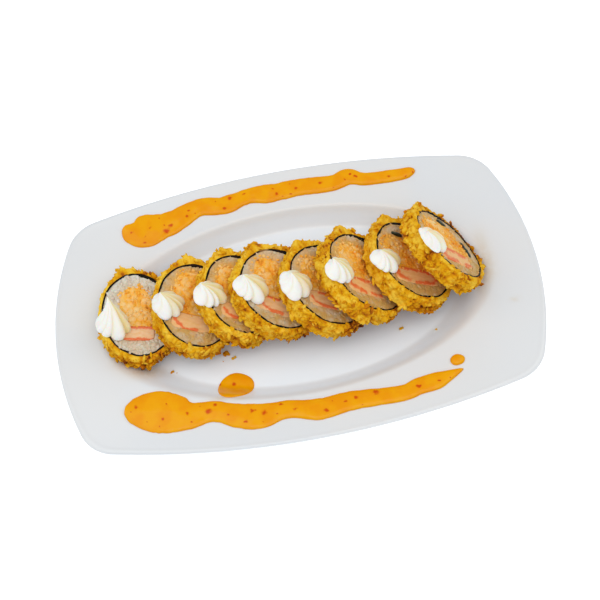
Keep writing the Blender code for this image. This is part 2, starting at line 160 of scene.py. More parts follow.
def hoop(grid: Array, values: dict[str, Array] | None = None) -> Surface:
    """Surface of a grid (rows, columns, 3) that closes round both ways, as a ring's does."""
    rows, columns = grid.shape[:2]
    carried = {name: value.reshape(-1) for name, value in (values or {}).items()}
    return Surface(grid.reshape(-1, 3), [cells(rows, columns, True)], carried).outward()


def tube(grid: Array, values: dict[str, Array] | None = None) -> Surface:
    """Surface of rings of points (rows, columns, 3), each end closed by a fan round its middle."""
    rows, columns = grid.shape[:2]
    count = rows * columns
    poles = np.stack([grid[0].mean(0), grid[-1].mean(0)])
    around = np.arange(columns)
    beside = (around + 1) % columns
    last = count - columns
    first_fan = np.stack([np.full(columns, count), beside, around], -1)
    last_fan = np.stack([np.full(columns, count + 1), last + around, last + beside], -1)
    carried = {}
    for name, value in (values or {}).items():
        ends = [value[0].mean(), value[-1].mean()]
        carried[name] = np.concatenate([value.reshape(-1), ends])
    points = np.concatenate([grid.reshape(-1, 3), poles])
    return Surface(points, [cells(rows, columns, False), first_fan, last_fan], carried).outward()


def smoothstep(share: Array) -> Array:
    """Cubic ease from 0 to 1, level at both ends."""
    share = np.clip(share, 0.0, 1.0)
    return share * share * (3 - 2 * share)


def bump(angle: Array, centre: float, span: float) -> Array:
    """Bell of height 1 at an angle, exp(-(away / span)^2) on both sides of it."""
    away = (angle - centre + math.pi) % TAU - math.pi
    return np.exp(-((away / span) ** 2))


def crest(angle: Array, centre: float, span: float) -> Array:
    """Pointed peak of height 1 at an angle, exp(-|away| / span) on both sides of it."""
    away = (angle - centre + math.pi) % TAU - math.pi
    return np.exp(-np.abs(away) / span)


def hashed(key: Array) -> Array:
    """Numbers from 0 to 1 that stand for whole ones, by shifting and multiplying their bits."""
    key = (key ^ (key >> 13)) * 1274126177
    return ((key ^ (key >> 16)) & 0xFFFF) / 0xFFFF


def noise(points: Array, size: float, seed: int) -> Array:
    """Smooth noise from -1 to 1: random numbers at the corners of cubes, eased between them.

    Args:
        points: Places to read it at, with x, y and z last.
        size: Side of a cube.
        seed: Which random numbers to take.
    """
    place = points / size
    low = np.floor(place).astype(np.int64)
    ease = smoothstep(place - low)
    total = np.zeros(points.shape[:-1])
    for shift in itertools.product((0, 1), repeat=3):
        number = hashed(((low + shift) * LATTICE).sum(-1) + seed * SEED_STEP) * 2 - 1
        total += number * np.prod(np.where(shift, ease, 1 - ease), axis=-1)
    return total


def clumps(points: Array, size: float, seed: int) -> tuple[Array, Array]:
    """Lumps crowded together, as 1 - (distance to the nearest lump's middle)^2 with distances in sizes.

    Each cube of the given side holds one lump's middle at a random place.

    Args:
        points: Places to read it at, with x, y and z last.
        size: Side of a cube.
        seed: Which random numbers to take.

    Returns:
        How high the lump stands at each place, and the number from 0 to 1 that is that lump's own.
    """
    place = points / size
    low = np.floor(place).astype(np.int64)
    nearest = np.full(points.shape[:-1], np.inf)
    own = np.zeros(points.shape[:-1])
    for shift in itertools.product((-1, 0, 1), repeat=3):
        cell = low + shift
        key = (cell * LATTICE).sum(-1) + seed * SEED_STEP
        middle = cell + np.stack([hashed(key + step) for step in (7919, 104729, 1299709)], -1)
        away = ((place - middle) ** 2).sum(-1)
        closer = away < nearest
        nearest = np.where(closer, away, nearest)
        own = np.where(closer, hashed(key), own)
    return 1 - np.minimum(nearest, 1), own


def spline(rows: Array, shares: Array) -> Array:
    """Catmull-Rom curve through rows of numbers, at shares of the way counted in rows."""
    place = shares * (len(rows) - 1)
    index = np.minimum(place.astype(int), len(rows) - 2)
    t = (place - index)[:, None]
    a, b, c, d = (rows[np.clip(index + k, 0, len(rows) - 1)] for k in (-1, 0, 1, 2))
    bend, twist = 2 * a - 5 * b + 4 * c - d, 3 * b - a - 3 * c + d
    return 0.5 * (2 * b + (c - a) * t + bend * t**2 + twist * t**3)


def lifted(flat: Array, height: Array | float = 0.0) -> Array:
    """Flat places (x, y) with a height z."""
    return np.concatenate([flat, np.broadcast_to(height, flat.shape[:-1])[..., None]], -1)


def bells(flat: Array, spots: Array) -> Array:
    """Sum of bells exp(-(x / a)^2 - (y / b)^2) at places, for spots (x, y, a, b, height)."""
    total = np.zeros(flat.shape[:-1])
    for x, y, half_x, half_y, height in spots:
        total += height * np.exp(-(((flat[..., 0] - x) / half_x) ** 2) - ((flat[..., 1] - y) / half_y) ** 2)
    return total


def unit(vectors: Array) -> Array:
    """The same directions, each one long."""
    return vectors / np.linalg.norm(vectors, axis=-1, keepdims=True)


def apart(points: Array, least: float) -> Array:
    """Numbers of the points that are kept when each must lie this far from those kept before it."""
    kept: list[int] = []
    for number, point in enumerate(points):
        if not kept or np.min(np.sum((points[kept] - point) ** 2, -1)) > least**2:
            kept.append(number)
    return np.array(kept)


def turns_about(axis: Array, generator: np.random.Generator) -> Array:
    """Rotations that take x to each given direction, with a random roll about it."""
    along = unit(axis)
    other = unit(np.cross(along, generator.normal(size=along.shape)))
    return np.stack([along, other, np.cross(along, other)], -1)


def lump() -> Surface:
    """Body of twenty triangles: the corners (0, 1, g) and their turns, joined where they are 2 apart."""
    golden = (1 + math.sqrt(5)) / 2
    corners = [(0.0, a, b * golden) for a in (-1, 1) for b in (-1, 1)]
    points = np.array([np.roll(corner, k) for k in range(3) for corner in corners])
    faces = []
    for trio in itertools.combinations(range(len(points)), 3):
        p = points[list(trio)]
        if np.allclose(np.linalg.norm(p - np.roll(p, 1, 0), axis=1), 2):
            facing = np.dot(np.cross(p[1] - p[0], p[2] - p[0]), p[0]) > 0
            faces.append(trio if facing else trio[::-1])
    return Surface(unit(points), [np.array(faces)])


def grain(bend: float = 0.16) -> Surface:
    """Long rounded body one long from middle to end: rings of radius sqrt(1 - x^2), bent in z by x^2."""
    x = np.array(GRAIN_STATIONS)[:, None]
    angle = np.linspace(0, TAU, GRAIN_SIDES, endpoint=False)[None]
    radius = np.sqrt(1 - x**2)
    grid = np.stack([x + 0 * angle, radius * np.cos(angle), radius * np.sin(angle) - bend * x**2], -1)
    return tube(grid)


def scattered(shape: Surface, centres: Array, turns: Array, scales: Array, rough: Array,
              tones: Array) -> Surface:
    """Copies of one small shape, each turned, stretched and roughened in its own way.

    Args:
        shape: The shape to repeat.
        centres: Where each copy goes.
        turns: Rotation of each copy.
        scales: Half sizes of each copy, before it is turned.
        rough: Share by which each point of each copy moves out from its middle.
        tones: Tone of each copy.
    """
    size = len(shape.points)
    local = shape.points[None] * scales[:, None] * (1 + rough)[..., None]
    points = np.einsum("nij,nvj->nvi", turns, local) + centres[:, None]
    starts = (np.arange(len(centres)) * size)[:, None, None]
    faces = [(corners[None] + starts).reshape(-1, corners.shape[1]) for corners in shape.faces]
    return Surface(points.reshape(-1, 3), faces, {"tone": np.repeat(tones, size)})


def add_piece(name: str, surface: Surface, material: bpy.types.Material,
              nodes: tuple[str, ...] = (), sharp: float = 50.0) -> None:
    """Put a surface into the scene as one piece of the object.

    Args:
        name: Name of the piece.
        surface: Its mesh in millimetres.
        material: Its finish.
        nodes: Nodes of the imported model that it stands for.
        sharp: Angle in degrees past which an edge stays crisp.
    """
    mesh = bpy.data.meshes.new(name)
    corners = np.concatenate([rows.reshape(-1) for rows in surface.faces])
    sizes = np.concatenate([np.full(len(rows), rows.shape[1]) for rows in surface.faces])
    mesh.vertices.add(len(surface.points))
    mesh.vertices.foreach_set("co", (surface.points * MM).astype(np.float32).reshape(-1))
    mesh.loops.add(len(corners))
    mesh.loops.foreach_set("vertex_index", corners.astype(np.int32))
    mesh.polygons.add(len(sizes))
    mesh.polygons.foreach_set("loop_start", (np.cumsum(sizes) - sizes).astype(np.int32))
    mesh.update(calc_edges=True)
    for key, value in surface.values.items():
        mesh.attributes.new(key, "FLOAT", "POINT").data.foreach_set("value", value.astype(np.float32))
    mesh.shade_smooth()
    mesh.set_sharp_from_angle(angle=math.radians(sharp))
    mesh.materials.append(material)
    piece = bpy.data.objects.new(name, mesh)
    bpy.context.scene.collection.objects.link(piece)
    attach(piece, "root")
    if nodes:
        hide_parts(*nodes)
    log.info("%s: %d points, %d faces", name, len(surface.points), len(sizes))


class Value:
    """A socket of a material's nodes, on which sums and products add Math nodes."""

    def __init__(self, graph: "Graph", socket: bpy.types.NodeSocket) -> None:
        """Wrap a socket of a graph."""
        self.graph = graph
        self.socket = socket

    def _math(self, operation: str, first: "Value | float", second: "Value | float") -> "Value":
        """One Math node."""
        return self.graph.node("ShaderNodeMath", {"operation": operation}, {0: first, 1: second})

    def __add__(self, other: "Value | float") -> "Value":
        """This and another."""
        return self._math("ADD", self, other)

    def __radd__(self, other: float) -> "Value":
        """A number and this."""
        return self._math("ADD", other, self)

    def __sub__(self, other: "Value | float") -> "Value":
        """This less another."""
        return self._math("SUBTRACT", self, other)

    def __mul__(self, other: "Value | float") -> "Value":
        """This times another."""
        return self._math("MULTIPLY", self, other)


class Graph:
    """The nodes of one material, built round its Principled shader."""

    def __init__(self, name: str, **constants: float) -> None:
        """Start a material.

        Args:
            name: Name of the material.
            constants: Numbers of the shader that are the same all over, by socket name with _ for a space.
        """
        self.material = bpy.data.materials.new(name)
        self.material.use_nodes = True
        self.tree = self.material.node_tree
        self.shader = self.tree.nodes["Principled BSDF"]
        for key, value in constants.items():
            self.shader.inputs[key.replace("_", " ")].default_value = value

    def feed(self, socket: bpy.types.NodeSocket, value: "Value | float | tuple") -> None:
        """Link a value to a socket, or set a number on it."""
        if isinstance(value, Value):
            self.tree.links.new(value.socket, socket)
        else:
            socket.default_value = value

    def node(self, kind: str, settings: dict | None = None, inputs: dict | None = None,
             output: int | str = 0) -> Value:
        """Add any node.

        Args:
            kind: Its type.
            settings: Its own settings, set first; "stops" holds a ramp's places and colours.
            inputs: Values or links of its sockets, by name or number.
            output: Which output to return.
        """
        made = self.tree.nodes.new(kind)
        for key, value in (settings or {}).items():
            if key == "stops":
                self._set_stops(made.color_ramp, value)
            else:
                setattr(made, key, value)
        for key, value in (inputs or {}).items():
            self.feed(made.inputs[key], value)
        return Value(self, made.outputs[output])

    @staticmethod
    def _set_stops(ramp: bpy.types.ColorRamp, stops: tuple[tuple[float, Colour], ...]) -> None:
        """Give a ramp its stops, adding those that it hasn't."""
        for number, (place, colour) in enumerate(stops):
            stop = ramp.elements[number] if number < 2 else ramp.elements.new(place)
            stop.position = place
            stop.color = colour

    def place(self, stretch: tuple[float, float, float] = (1.0, 1.0, 1.0)) -> Value:
        """Place on the object in millimetres, stretched along its axes."""
        here = self.node("ShaderNodeTexCoord", output="Object")
        scale = tuple(value / MM for value in stretch)
        return self.node("ShaderNodeMapping", None, {"Vector": here, "Scale": scale})

    def noise(self, size: float, detail: float = 2.0,
              stretch: tuple[float, float, float] = (1.0, 1.0, 1.0)) -> Value:
        """Noise from 0 to 1 with features of this many millimetres."""
        inputs = {"Vector": self.place(stretch), "Scale": 1 / size, "Detail": detail}
        return self.node("ShaderNodeTexNoise", None, inputs)

    def carried(self, name: str) -> Value:
        """The number of this name that the points carry."""
        return self.node("ShaderNodeAttribute", {"attribute_name": name}, output="Fac")

    def ramp(self, value: Value, *stops: tuple[float, Colour]) -> Value:
        """Colour of a value between stops."""
        return self.node("ShaderNodeValToRGB", {"stops": stops}, {0: value})

    def mix(self, first: "Value | Colour", second: "Value | Colour", share: "Value | float") -> Value:
        """Colour between two colours."""
        return self.node("ShaderNodeMix", {"data_type": "RGBA"}, {0: share, 6: first, 7: second}, 2)

    def between(self, value: Value, low: float, high: float, to_low: float = 0.0,
                to_high: float = 1.0) -> Value:
        """A value carried from one range to another, eased and held at its ends."""
        settings = {"interpolation_type": "SMOOTHSTEP"}
        inputs = {0: value, 1: low, 2: high, 3: to_low, 4: to_high}
        return self.node("ShaderNodeMapRange", settings, inputs)

    def finish(self, colour: "Value | Colour", roughness: "Value | float", relief: Value | None = None,
               depth: float = 0.1, coat: "Value | float | None" = None) -> bpy.types.Material:
        """Feed the shader.

        Args:
            colour: Its base colour.
            roughness: Its roughness.
            relief: Height of its fine relief, from 0 to 1.
            depth: Depth of that relief in millimetres.
            coat: Weight of its gloss coat.

        Returns:
            The finished material.
        """
        self.feed(self.shader.inputs["Base Color"], colour)
        self.feed(self.shader.inputs["Roughness"], roughness)
        if relief is not None:
            bumped = self.node("ShaderNodeBump", None, {"Height": relief, "Distance": depth * MM})
            self.feed(self.shader.inputs["Normal"], bumped)
        if coat is not None:
            self.feed(self.shader.inputs["Coat Weight"], coat)
        return self.material


@dataclass(frozen=True)
class CrumbFinish:
    """Fried breadcrumb, from pale yellow over gold to dark brown by its tone."""

    pale: Colour = (0.90, 0.56, 0.045, 1)
    gold: Colour = (0.78, 0.385, 0.005, 1)
    amber: Colour = (0.58, 0.175, 0.004, 1)
    dark: Colour = (0.17, 0.035, 0.004, 1)

    def material(self) -> bpy.types.Material:
        """Tone with a fine speckle, a rough surface with oily spots, and a pitted relief."""
        graph = Graph("fried crumb", Specular_IOR_Level=0.07)
        shade = graph.carried("tone") + (graph.noise(0.9, 3) - 0.5) * 0.42
        stops = ((0.0, self.pale), (0.36, self.gold), (0.72, self.amber), (1.0, self.dark))
        oily = graph.between(graph.noise(3.0, 1), 0.5, 0.7, 0.75, 0.5)
        return graph.finish(graph.ramp(shade, *stops), oily, graph.noise(0.6, 2), 0.22)


@dataclass(frozen=True)
class SeaweedFinish:
    """Dark seaweed sheet, near black with a green and a brown cast, torn to brown where it is bare."""

    green: Colour = (0.006, 0.008, 0.004, 1)
    brown: Colour = (0.018, 0.008, 0.006, 1)
    bare: Colour = (0.36, 0.20, 0.07, 1)

    def material(self) -> bpy.types.Material:
        """Two casts in patches, with the sheet's pressed grain, and the torn places laid over."""
        graph = Graph("dark seaweed", Specular_IOR_Level=0.15)
        patches = graph.between(graph.noise(3.0, 2), 0.35, 0.65)
        grain_height = graph.noise(0.5, 3)
        torn = graph.between(graph.carried("torn") + (graph.noise(0.8, 2) - 0.5) * 0.6, 0.35, 0.75)
        colour = graph.mix(graph.mix(self.green, self.brown, patches), self.bare, torn)
        return graph.finish(colour, grain_height * 0.25 + 0.42, grain_height, 0.12)


@dataclass(frozen=True)
class RiceFinish:
    """Cooked rice, slightly translucent, browned in the row and stained beside the filling."""

    pale: Colour = (0.81, 0.775, 0.71, 1)
    warm: Colour = (0.69, 0.585, 0.46, 1)
    dim: Colour = (0.38, 0.31, 0.19, 1)
    brown: Colour = (0.62, 0.345, 0.095, 1)
    stain: Colour = (0.82, 0.39, 0.05, 1)

    def material(self) -> bpy.types.Material:
        """Tone with a soft cloud of warmth, then the browning and the stain that the points carry."""
        graph = Graph("cooked rice", Subsurface_Weight=0.15, Subsurface_Scale=0.002, Specular_IOR_Level=0.25)
        shade = graph.carried("tone") + (graph.noise(3.0, 3) - 0.5) * 0.5
        own = graph.ramp(shade, (0.0, self.pale), (0.5, self.warm), (1.0, self.dim))
        cloud = graph.between(graph.noise(5.0, 2), 0.3, 0.7, 0.55, 1.15)
        browned = graph.mix(own, self.brown, graph.carried("browned") * cloud)
        stained = graph.mix(browned, self.stain, graph.carried("stain"))
        moist = graph.between(graph.noise(2.0, 2), 0.4, 0.65, 0.55, 0.38)
        return graph.finish(stained, moist, graph.noise(0.6, 2), 0.06)


@dataclass(frozen=True)
class FillingFinish:
    """Dressed crumbly filling: cream-orange bits with deeper orange ones among them."""

    pale: Colour = (0.95, 0.63, 0.27, 1)
    orange: Colour = (0.96, 0.45, 0.04, 1)
    deep: Colour = (0.88, 0.29, 0.012, 1)
    brown: Colour = (0.50, 0.16, 0.010, 1)

    def material(self) -> bpy.types.Material:
        """Tone with a fine speckle, moist all over."""
        graph = Graph("orange filling", Subsurface_Weight=0.1, Subsurface_Scale=0.0015,
                      Specular_IOR_Level=0.25)
        shade = graph.carried("tone") + (graph.noise(1.1, 3) - 0.5) * 0.45
        stops = ((0.0, self.pale), (0.4, self.orange), (0.75, self.deep), (1.0, self.brown))
        moist = graph.between(graph.noise(1.5, 2), 0.4, 0.65, 0.5, 0.34)
        return graph.finish(graph.ramp(shade, *stops), moist, graph.noise(0.6, 2), 0.1)


@dataclass(frozen=True)
class CrabFinish:
    """Crab stick: peach flesh in fine fibres, under a red-orange skin."""

    flesh: Colour = (0.90, 0.60, 0.36, 1)
    fibre: Colour = (0.86, 0.50, 0.22, 1)
    browned: Colour = (0.86, 0.45, 0.13, 1)
    skin: Colour = (0.82, 0.115, 0.016, 1)

    def material(self) -> bpy.types.Material:
        """Fibres as noise drawn out along x, with the skin laid over by what the points carry."""
        graph = Graph("crab stick", Subsurface_Weight=0.12, Subsurface_Scale=0.002, Specular_IOR_Level=0.25)
        fibres = graph.noise(1.6, 3, (0.35, 1.0, 1.0))
        flesh = graph.mix(self.flesh, self.fibre, graph.between(fibres, 0.3, 0.75))
        flesh = graph.mix(flesh, self.browned, graph.carried("browned") * 0.7)
        skin = graph.between(graph.carried("skin") + (graph.noise(0.9, 3) - 0.5) * 0.8, 0.1, 1.05)
        return graph.finish(graph.mix(flesh, self.skin, skin * 0.85), 0.4 + fibres * 0.15, fibres, 0.1)


@dataclass(frozen=True)
class CreamFinish:
    """Piped cream, white on its ridges, with cream-yellow painted shade down in its grooves and on one side.
    """

    white: Colour = (0.905, 0.88, 0.82, 1)
    # cream-yellow of the painted shade
    shade: Colour = (0.85, 0.68, 0.30, 1)

    def material(self) -> bpy.types.Material:
        """Painted shade in the grooves and on one side by what the points carry, soft and satin."""
        graph = Graph("piped cream", Subsurface_Weight=0.25, Subsurface_Scale=0.002, Specular_IOR_Level=0.25)
        # the carried groove value is painted shade, in the grooves and on one side
        groove = graph.between(graph.carried("groove") + (graph.noise(2.5, 1) - 0.5) * 0.2, 0.0, 1.1)
        gloss = 0.4 + groove * 0.14
        return graph.finish(graph.mix(self.white, self.shade, groove), gloss, graph.noise(0.8, 2), 0.02)


@dataclass(frozen=True)
class GreenFinish:
    """Dark green vegetable strip with a wet skin."""

    dark: Colour = (0.010, 0.020, 0.008, 1)
    light: Colour = (0.05, 0.10, 0.03, 1)

    def material(self) -> bpy.types.Material:
        """Two greens in small patches."""
        graph = Graph("dark green strip")
        patches = graph.between(graph.noise(1.2, 3), 0.5, 0.8)
        colour = graph.mix(self.dark, self.light, patches)
        return graph.finish(colour, 0.28 + patches * 0.2, graph.noise(0.6, 2), 0.1)


@dataclass(frozen=True)
class GlazeFinish:
    """White glazed porcelain, painted lighter and bluer in the well as painted light, with thin smears of
    sauce and patches of painted brown shade.
    """

    cool: Colour = (0.76, 0.762, 0.767, 1)
    warm: Colour = (0.78, 0.767, 0.755, 1)
    # painted light: a lighter, bluer white laid over the well
    painted_well_light: Colour = (0.885, 0.94, 1.0, 1)
    # brown of the sauce smears, and of painted shade and reflection of the crust beside slices 1 and 8
    smear_and_shade: Colour = (0.66, 0.50, 0.30, 1)

    def material(self) -> bpy.types.Material:
        """Two whites in broad clouds under a clear coat, with the painted light of the well and the smears
        and painted shade by what the points carry.
        """
        graph = Graph("white glaze", Coat_Roughness=0.12, Coat_IOR=1.5)
        clouds = graph.between(graph.noise(60.0, 2), 0.35, 0.65)
        ripple = graph.noise(14.0, 2)
        # smears of sauce and painted shade, broken up by noise
        smears_and_shades = graph.carried("smear_and_shade") * graph.between(graph.noise(3.0, 3), 0.25, 0.6, 0.6, 1.0)
        # painted light: the well's glaze is painted lighter and bluer
        glaze = graph.mix(graph.mix(self.cool, self.warm, clouds), self.painted_well_light, graph.carried("painted_well_light"))
        return graph.finish(graph.mix(glaze, self.smear_and_shade, smears_and_shades), 0.3 + ripple * 0.1, ripple, 0.02, coat=0.4)


@dataclass(frozen=True)
class SauceFinish:
    """Glossy orange sauce with flecks of chilli under its surface."""

    amber: Colour = (0.88, 0.375, 0.001, 1)
    deep: Colour = (0.86, 0.31, 0.001, 1)
    fleck: Colour = (0.64, 0.075, 0.002, 1)

    def material(self) -> bpy.types.Material:
        """Broad clouds of deeper orange, flecks by what the points carry, and a clear wet coat."""
        graph = Graph("sweet chilli sauce", Coat_Roughness=0.04, Coat_IOR=1.4, Specular_IOR_Level=0.1)
        clouds = graph.between(graph.noise(9.0, 3), 0.35, 0.65)
        body = graph.mix(self.amber, self.deep, clouds)
        flecks = graph.between(graph.carried("fleck") + (graph.noise(1.2, 2) - 0.5) * 0.4, 0.2, 0.9)
        relief = graph.noise(3.0, 2)
        colour = graph.mix(body, self.fleck, flecks)
        return graph.finish(colour, 0.2 + relief * 0.1, relief, 0.06, coat=0.25)


@dataclass(frozen=True)
class Plate:
    """The porcelain plate: an oval well in a rim with four bowed sides, on a foot ring."""

    length: float = 280.0
    width: float = 171.0
    long_side_bow: float = 19.0
    short_side_bow: float = 24.0
    corner_radius: float = 22.5
    well_length: float = 232.0
    well_width: float = 120.5
    floor_share: float = 0.80
    floor_height: float = 8.0
    well_edge_height: float = 18.4
    lip_height: float = 21.0
    rim_rise_power: float = 1.4
    wall: float = 4.2
    well_wall: float = 4.5
    recess_height: float = 3.4
    lip_rounding: tuple = ((0.945, 0.0), (0.985, 0.4), (1.0, 1.4), (0.985, 2.5), (0.94, 3.1))
    foot_outer_share: float = 0.77
    foot_inner_share: float = 0.71
    foot_draft_share: float = 0.01
    quarter_steps: tuple = (24, 28, 32)
    # Bells (x, y, a, b, height): the first three are smears of sauce, the rest painted brown shade and
    # reflection of the crust beside slices 1 and 8.
    smears_and_shades: tuple = (
        (-50.5, -52.5, 6.0, 1.6, 0.45), (-39.5, -54.5, 5.0, 1.3, 0.35), (120.9, -26.5, 3.0, 1.4, 0.3),
        (-102.0, -20.0, 6.5, 5.5, 0.55), (-91.0, -27.0, 9.0, 5.0, 0.65), (110.5, 1.0, 5.0, 9.0, 0.55),
        (107.0, -8.0, 6.0, 5.0, 0.4), (112.0, 14.0, 4.0, 8.0, 0.25),
    )

    def outline(self) -> Array:
        """The rim from above: arcs of the bowed sides and, where two sides meet, of the round corner."""
        half_x, half_y = self.length / 2, self.width / 2
        long_radius = (half_x**2 + self.long_side_bow**2) / (2 * self.long_side_bow)
        short_radius = (half_y**2 + self.short_side_bow**2) / (2 * self.short_side_bow)
        long_centre = np.array([0.0, half_y - long_radius])
        short_centre = np.array([half_x - short_radius, 0.0])
        reach_long, reach_short = long_radius - self.corner_radius, short_radius - self.corner_radius
        between = long_centre - short_centre
        distance = np.linalg.norm(between)
        forward = between / distance
        along = (reach_short**2 - reach_long**2 + distance**2) / (2 * distance)
        aside = math.sqrt(reach_short**2 - along**2)
        sideways = np.array([-forward[1], forward[0]])
        sideways *= math.copysign(1, sideways[1])
        corner = short_centre + forward * along + sideways * aside
        to_short = math.atan2(*(corner - short_centre)[::-1])
        to_long = math.atan2(*(corner - long_centre)[::-1])
        centres = (short_centre, corner, long_centre)
        radii = (short_radius, self.corner_radius, long_radius)
        limits = (0.0, to_short, to_long, math.pi / 2)
        arcs = []
        for centre, radius, start, end, steps in zip(centres, radii, limits, limits[1:], self.quarter_steps):
            angle = start + (end - start) * np.arange(steps) / steps
            arcs.append(centre + radius * np.stack([np.cos(angle), np.sin(angle)], -1))
        quarter = np.concatenate(arcs)
        half = np.concatenate([quarter, [[0.0, half_y]], quarter[:0:-1] * (-1, 1)])
        return np.concatenate([half, -half])

    def well_edge(self, outline: Array) -> Array:
        """The well's oval edge, at the turn that each point of the outline has."""
        turn = np.arctan2(outline[:, 1] / self.width, outline[:, 0] / self.length)
        return np.stack([np.cos(turn) * self.well_length, np.sin(turn) * self.well_width], -1) / 2

    def slope(self, share: Array) -> Array:
        """Height in the well, level up to the floor's edge and easing up to the well's edge."""
        climb = smoothstep((share - self.floor_share) / (1 - self.floor_share))
        return self.floor_height + (self.well_edge_height - self.floor_height) * climb

    def rim(self, share: Array) -> Array:
        """Height on the rim, rising by a power of the share of its width."""
        return self.well_edge_height + (self.lip_height - self.well_edge_height) * share**self.rim_rise_power

    def surface(self) -> Surface:
        """Rings from the middle of the well, over the lip and under the rim, to the foot's recess."""
        outline = self.outline()
        edge = self.well_edge(outline)
        lip = spline(np.array(self.lip_rounding), np.linspace(0, 1, 17))
        well_in = np.concatenate([np.linspace(0.03, 0.76, 22), np.linspace(0.78, 1.0, 24)])
        rim_out = np.linspace(0.03, 0.92, 28)
        rim_in = np.linspace(0.85, 0.06, 14)
        under = np.linspace(0.98, 0.80, 8)
        outer, inner, draft = self.foot_outer_share, self.foot_inner_share, self.foot_draft_share
        foot = np.array([(outer + draft, self.recess_height), (outer + 0.002, 0.25), (outer - 0.003, 0.0),
                         (inner + 0.003, 0.0), (inner - 0.002, 0.25), (inner - draft, self.recess_height),
                         (0.3, self.recess_height)])
        on_rim = [(rim_out, self.rim(rim_out)), (lip[:, 0], self.lip_height - lip[:, 1]),
                  (rim_in, self.rim(rim_in) - self.wall)]
        in_well_below = [(under, self.slope(under) - self.well_wall), (foot[:, 0], foot[:, 1])]
        rings = [self._rings(edge * 0, edge, well_in, self.slope(well_in))]
        rings += [self._rings(edge, outline, share, height) for share, height in on_rim]
        rings += [self._rings(edge * 0, edge, share, height) for share, height in in_well_below]
        grid = np.concatenate(rings)
        # Painted light: the glaze is painted lighter and bluer the lower it lies below the well's edge,
        # easing back by a quarter at the floor's depth.
        sunk = (self.well_edge_height - grid[..., 2]) / (self.well_edge_height - self.floor_height)
        painted_well_light = smoothstep(sunk * 1.8) * (1 - 0.25 * smoothstep((sunk - 0.7) / 0.3))
        return tube(grid, {"smear_and_shade": self.smeared_and_shaded(grid), "painted_well_light": painted_well_light})

    def smeared_and_shaded(self, grid: Array) -> Array:
        """How much sauce smear and painted shade lies on each place, on the top alone."""
        return np.clip(bells(grid, self.smears_and_shades), 0, 1) * (grid[..., 2] > self.floor_height - 0.1)

    @staticmethod
    def _rings(inside: Array, outside: Array, share: Array, height: Array) -> Array:
        """Rings part of the way from one outline to another, each at its height."""
        return lifted(inside + (outside - inside) * share[:, None, None], height[:, None])

    def height(self, places: Array) -> Array:
        """Height of the top at places (x, y).

        On the rim a place is e(a) + (o(a) - e(a)) * u, for the well's edge e and the outline o at turn a;
        a few rounds move a until what is left lies along the rim's width, which gives u.
        """
        outline = self.outline()
        turns = np.unwrap(np.arctan2(outline[:, 1] / self.width, outline[:, 0] / self.length))
        turn = np.arctan2(places[..., 1] / self.well_width, places[..., 0] / self.well_length)
        share = np.zeros_like(turn)
        for _ in range(8):
            edge = np.stack([np.cos(turn) * self.well_length, np.sin(turn) * self.well_width], -1) / 2
            rim = np.stack([np.interp(turn, turns, outline[:, k], period=TAU) for k in (0, 1)], -1)
            out = rim - edge
            rest = places - edge
            share = np.einsum("...i,...i", rest, out) / np.einsum("...i,...i", out, out)
            missed = (out[..., 0] * rest[..., 1] - out[..., 1] * rest[..., 0]) / np.linalg.norm(out, axis=-1)
            turn = turn + missed / np.linalg.norm(places, axis=-1)
        inside = np.hypot(places[..., 0] / self.well_length, places[..., 1] / self.well_width) * 2
        on_rim = self.rim(np.clip(share, 0, 1))
        return np.where(inside < 1, self.slope(inside), on_rim)

    def press(self, surface: Surface, clear: float) -> Surface:
        """Press a surface flat where it would sink into the plate."""
        floor = self.height(surface.points[:, :2]) + clear
        surface.points[:, 2] = np.maximum(surface.points[:, 2], floor)
        return surface

    def dress(self, finish: GlazeFinish) -> None:
        """Add the glazed plate in place of its solid."""
        add_piece("glazed_plate", self.surface(), finish.material(), ("plate",))


@dataclass(frozen=True)
class SlicePlan:
    """One slice's place in the row, its oval, and where its crab stick and filling lie.

    Lengths are in millimetres and angles in degrees, as in the solids. Skins are lines of red skin on
    the cut face, each a half width and a run of places (down, across). Tears are places round the
    seaweed, as an angle and a span, and spots are dark bits on the face (down, across, half size).
    The seaweed's end laps over at one angle.
    """

    x: float
    y: float
    tilt: float
    turn: float
    half_down: float
    half_across: float
    oval_turn: float
    lift: float
    pocket: tuple[float, float]
    pocket_half: float
    crab_depth: float
    filling_height: float
    pocket_turn: float
    filling_lean: float
    uphill_share: float
    ridge_at: float
    browned: float
    skins: tuple = ()
    tears: tuple = ()
    spots: tuple = ()
    lap_at: float = 76


@dataclass(frozen=True)
class CreamPlan:
    """One swirl on a slice: its base on the face, its size, and how far its tip leans."""

    down: float
    across: float
    radius: float
    height: float
    lean_x: float
    lean_y: float


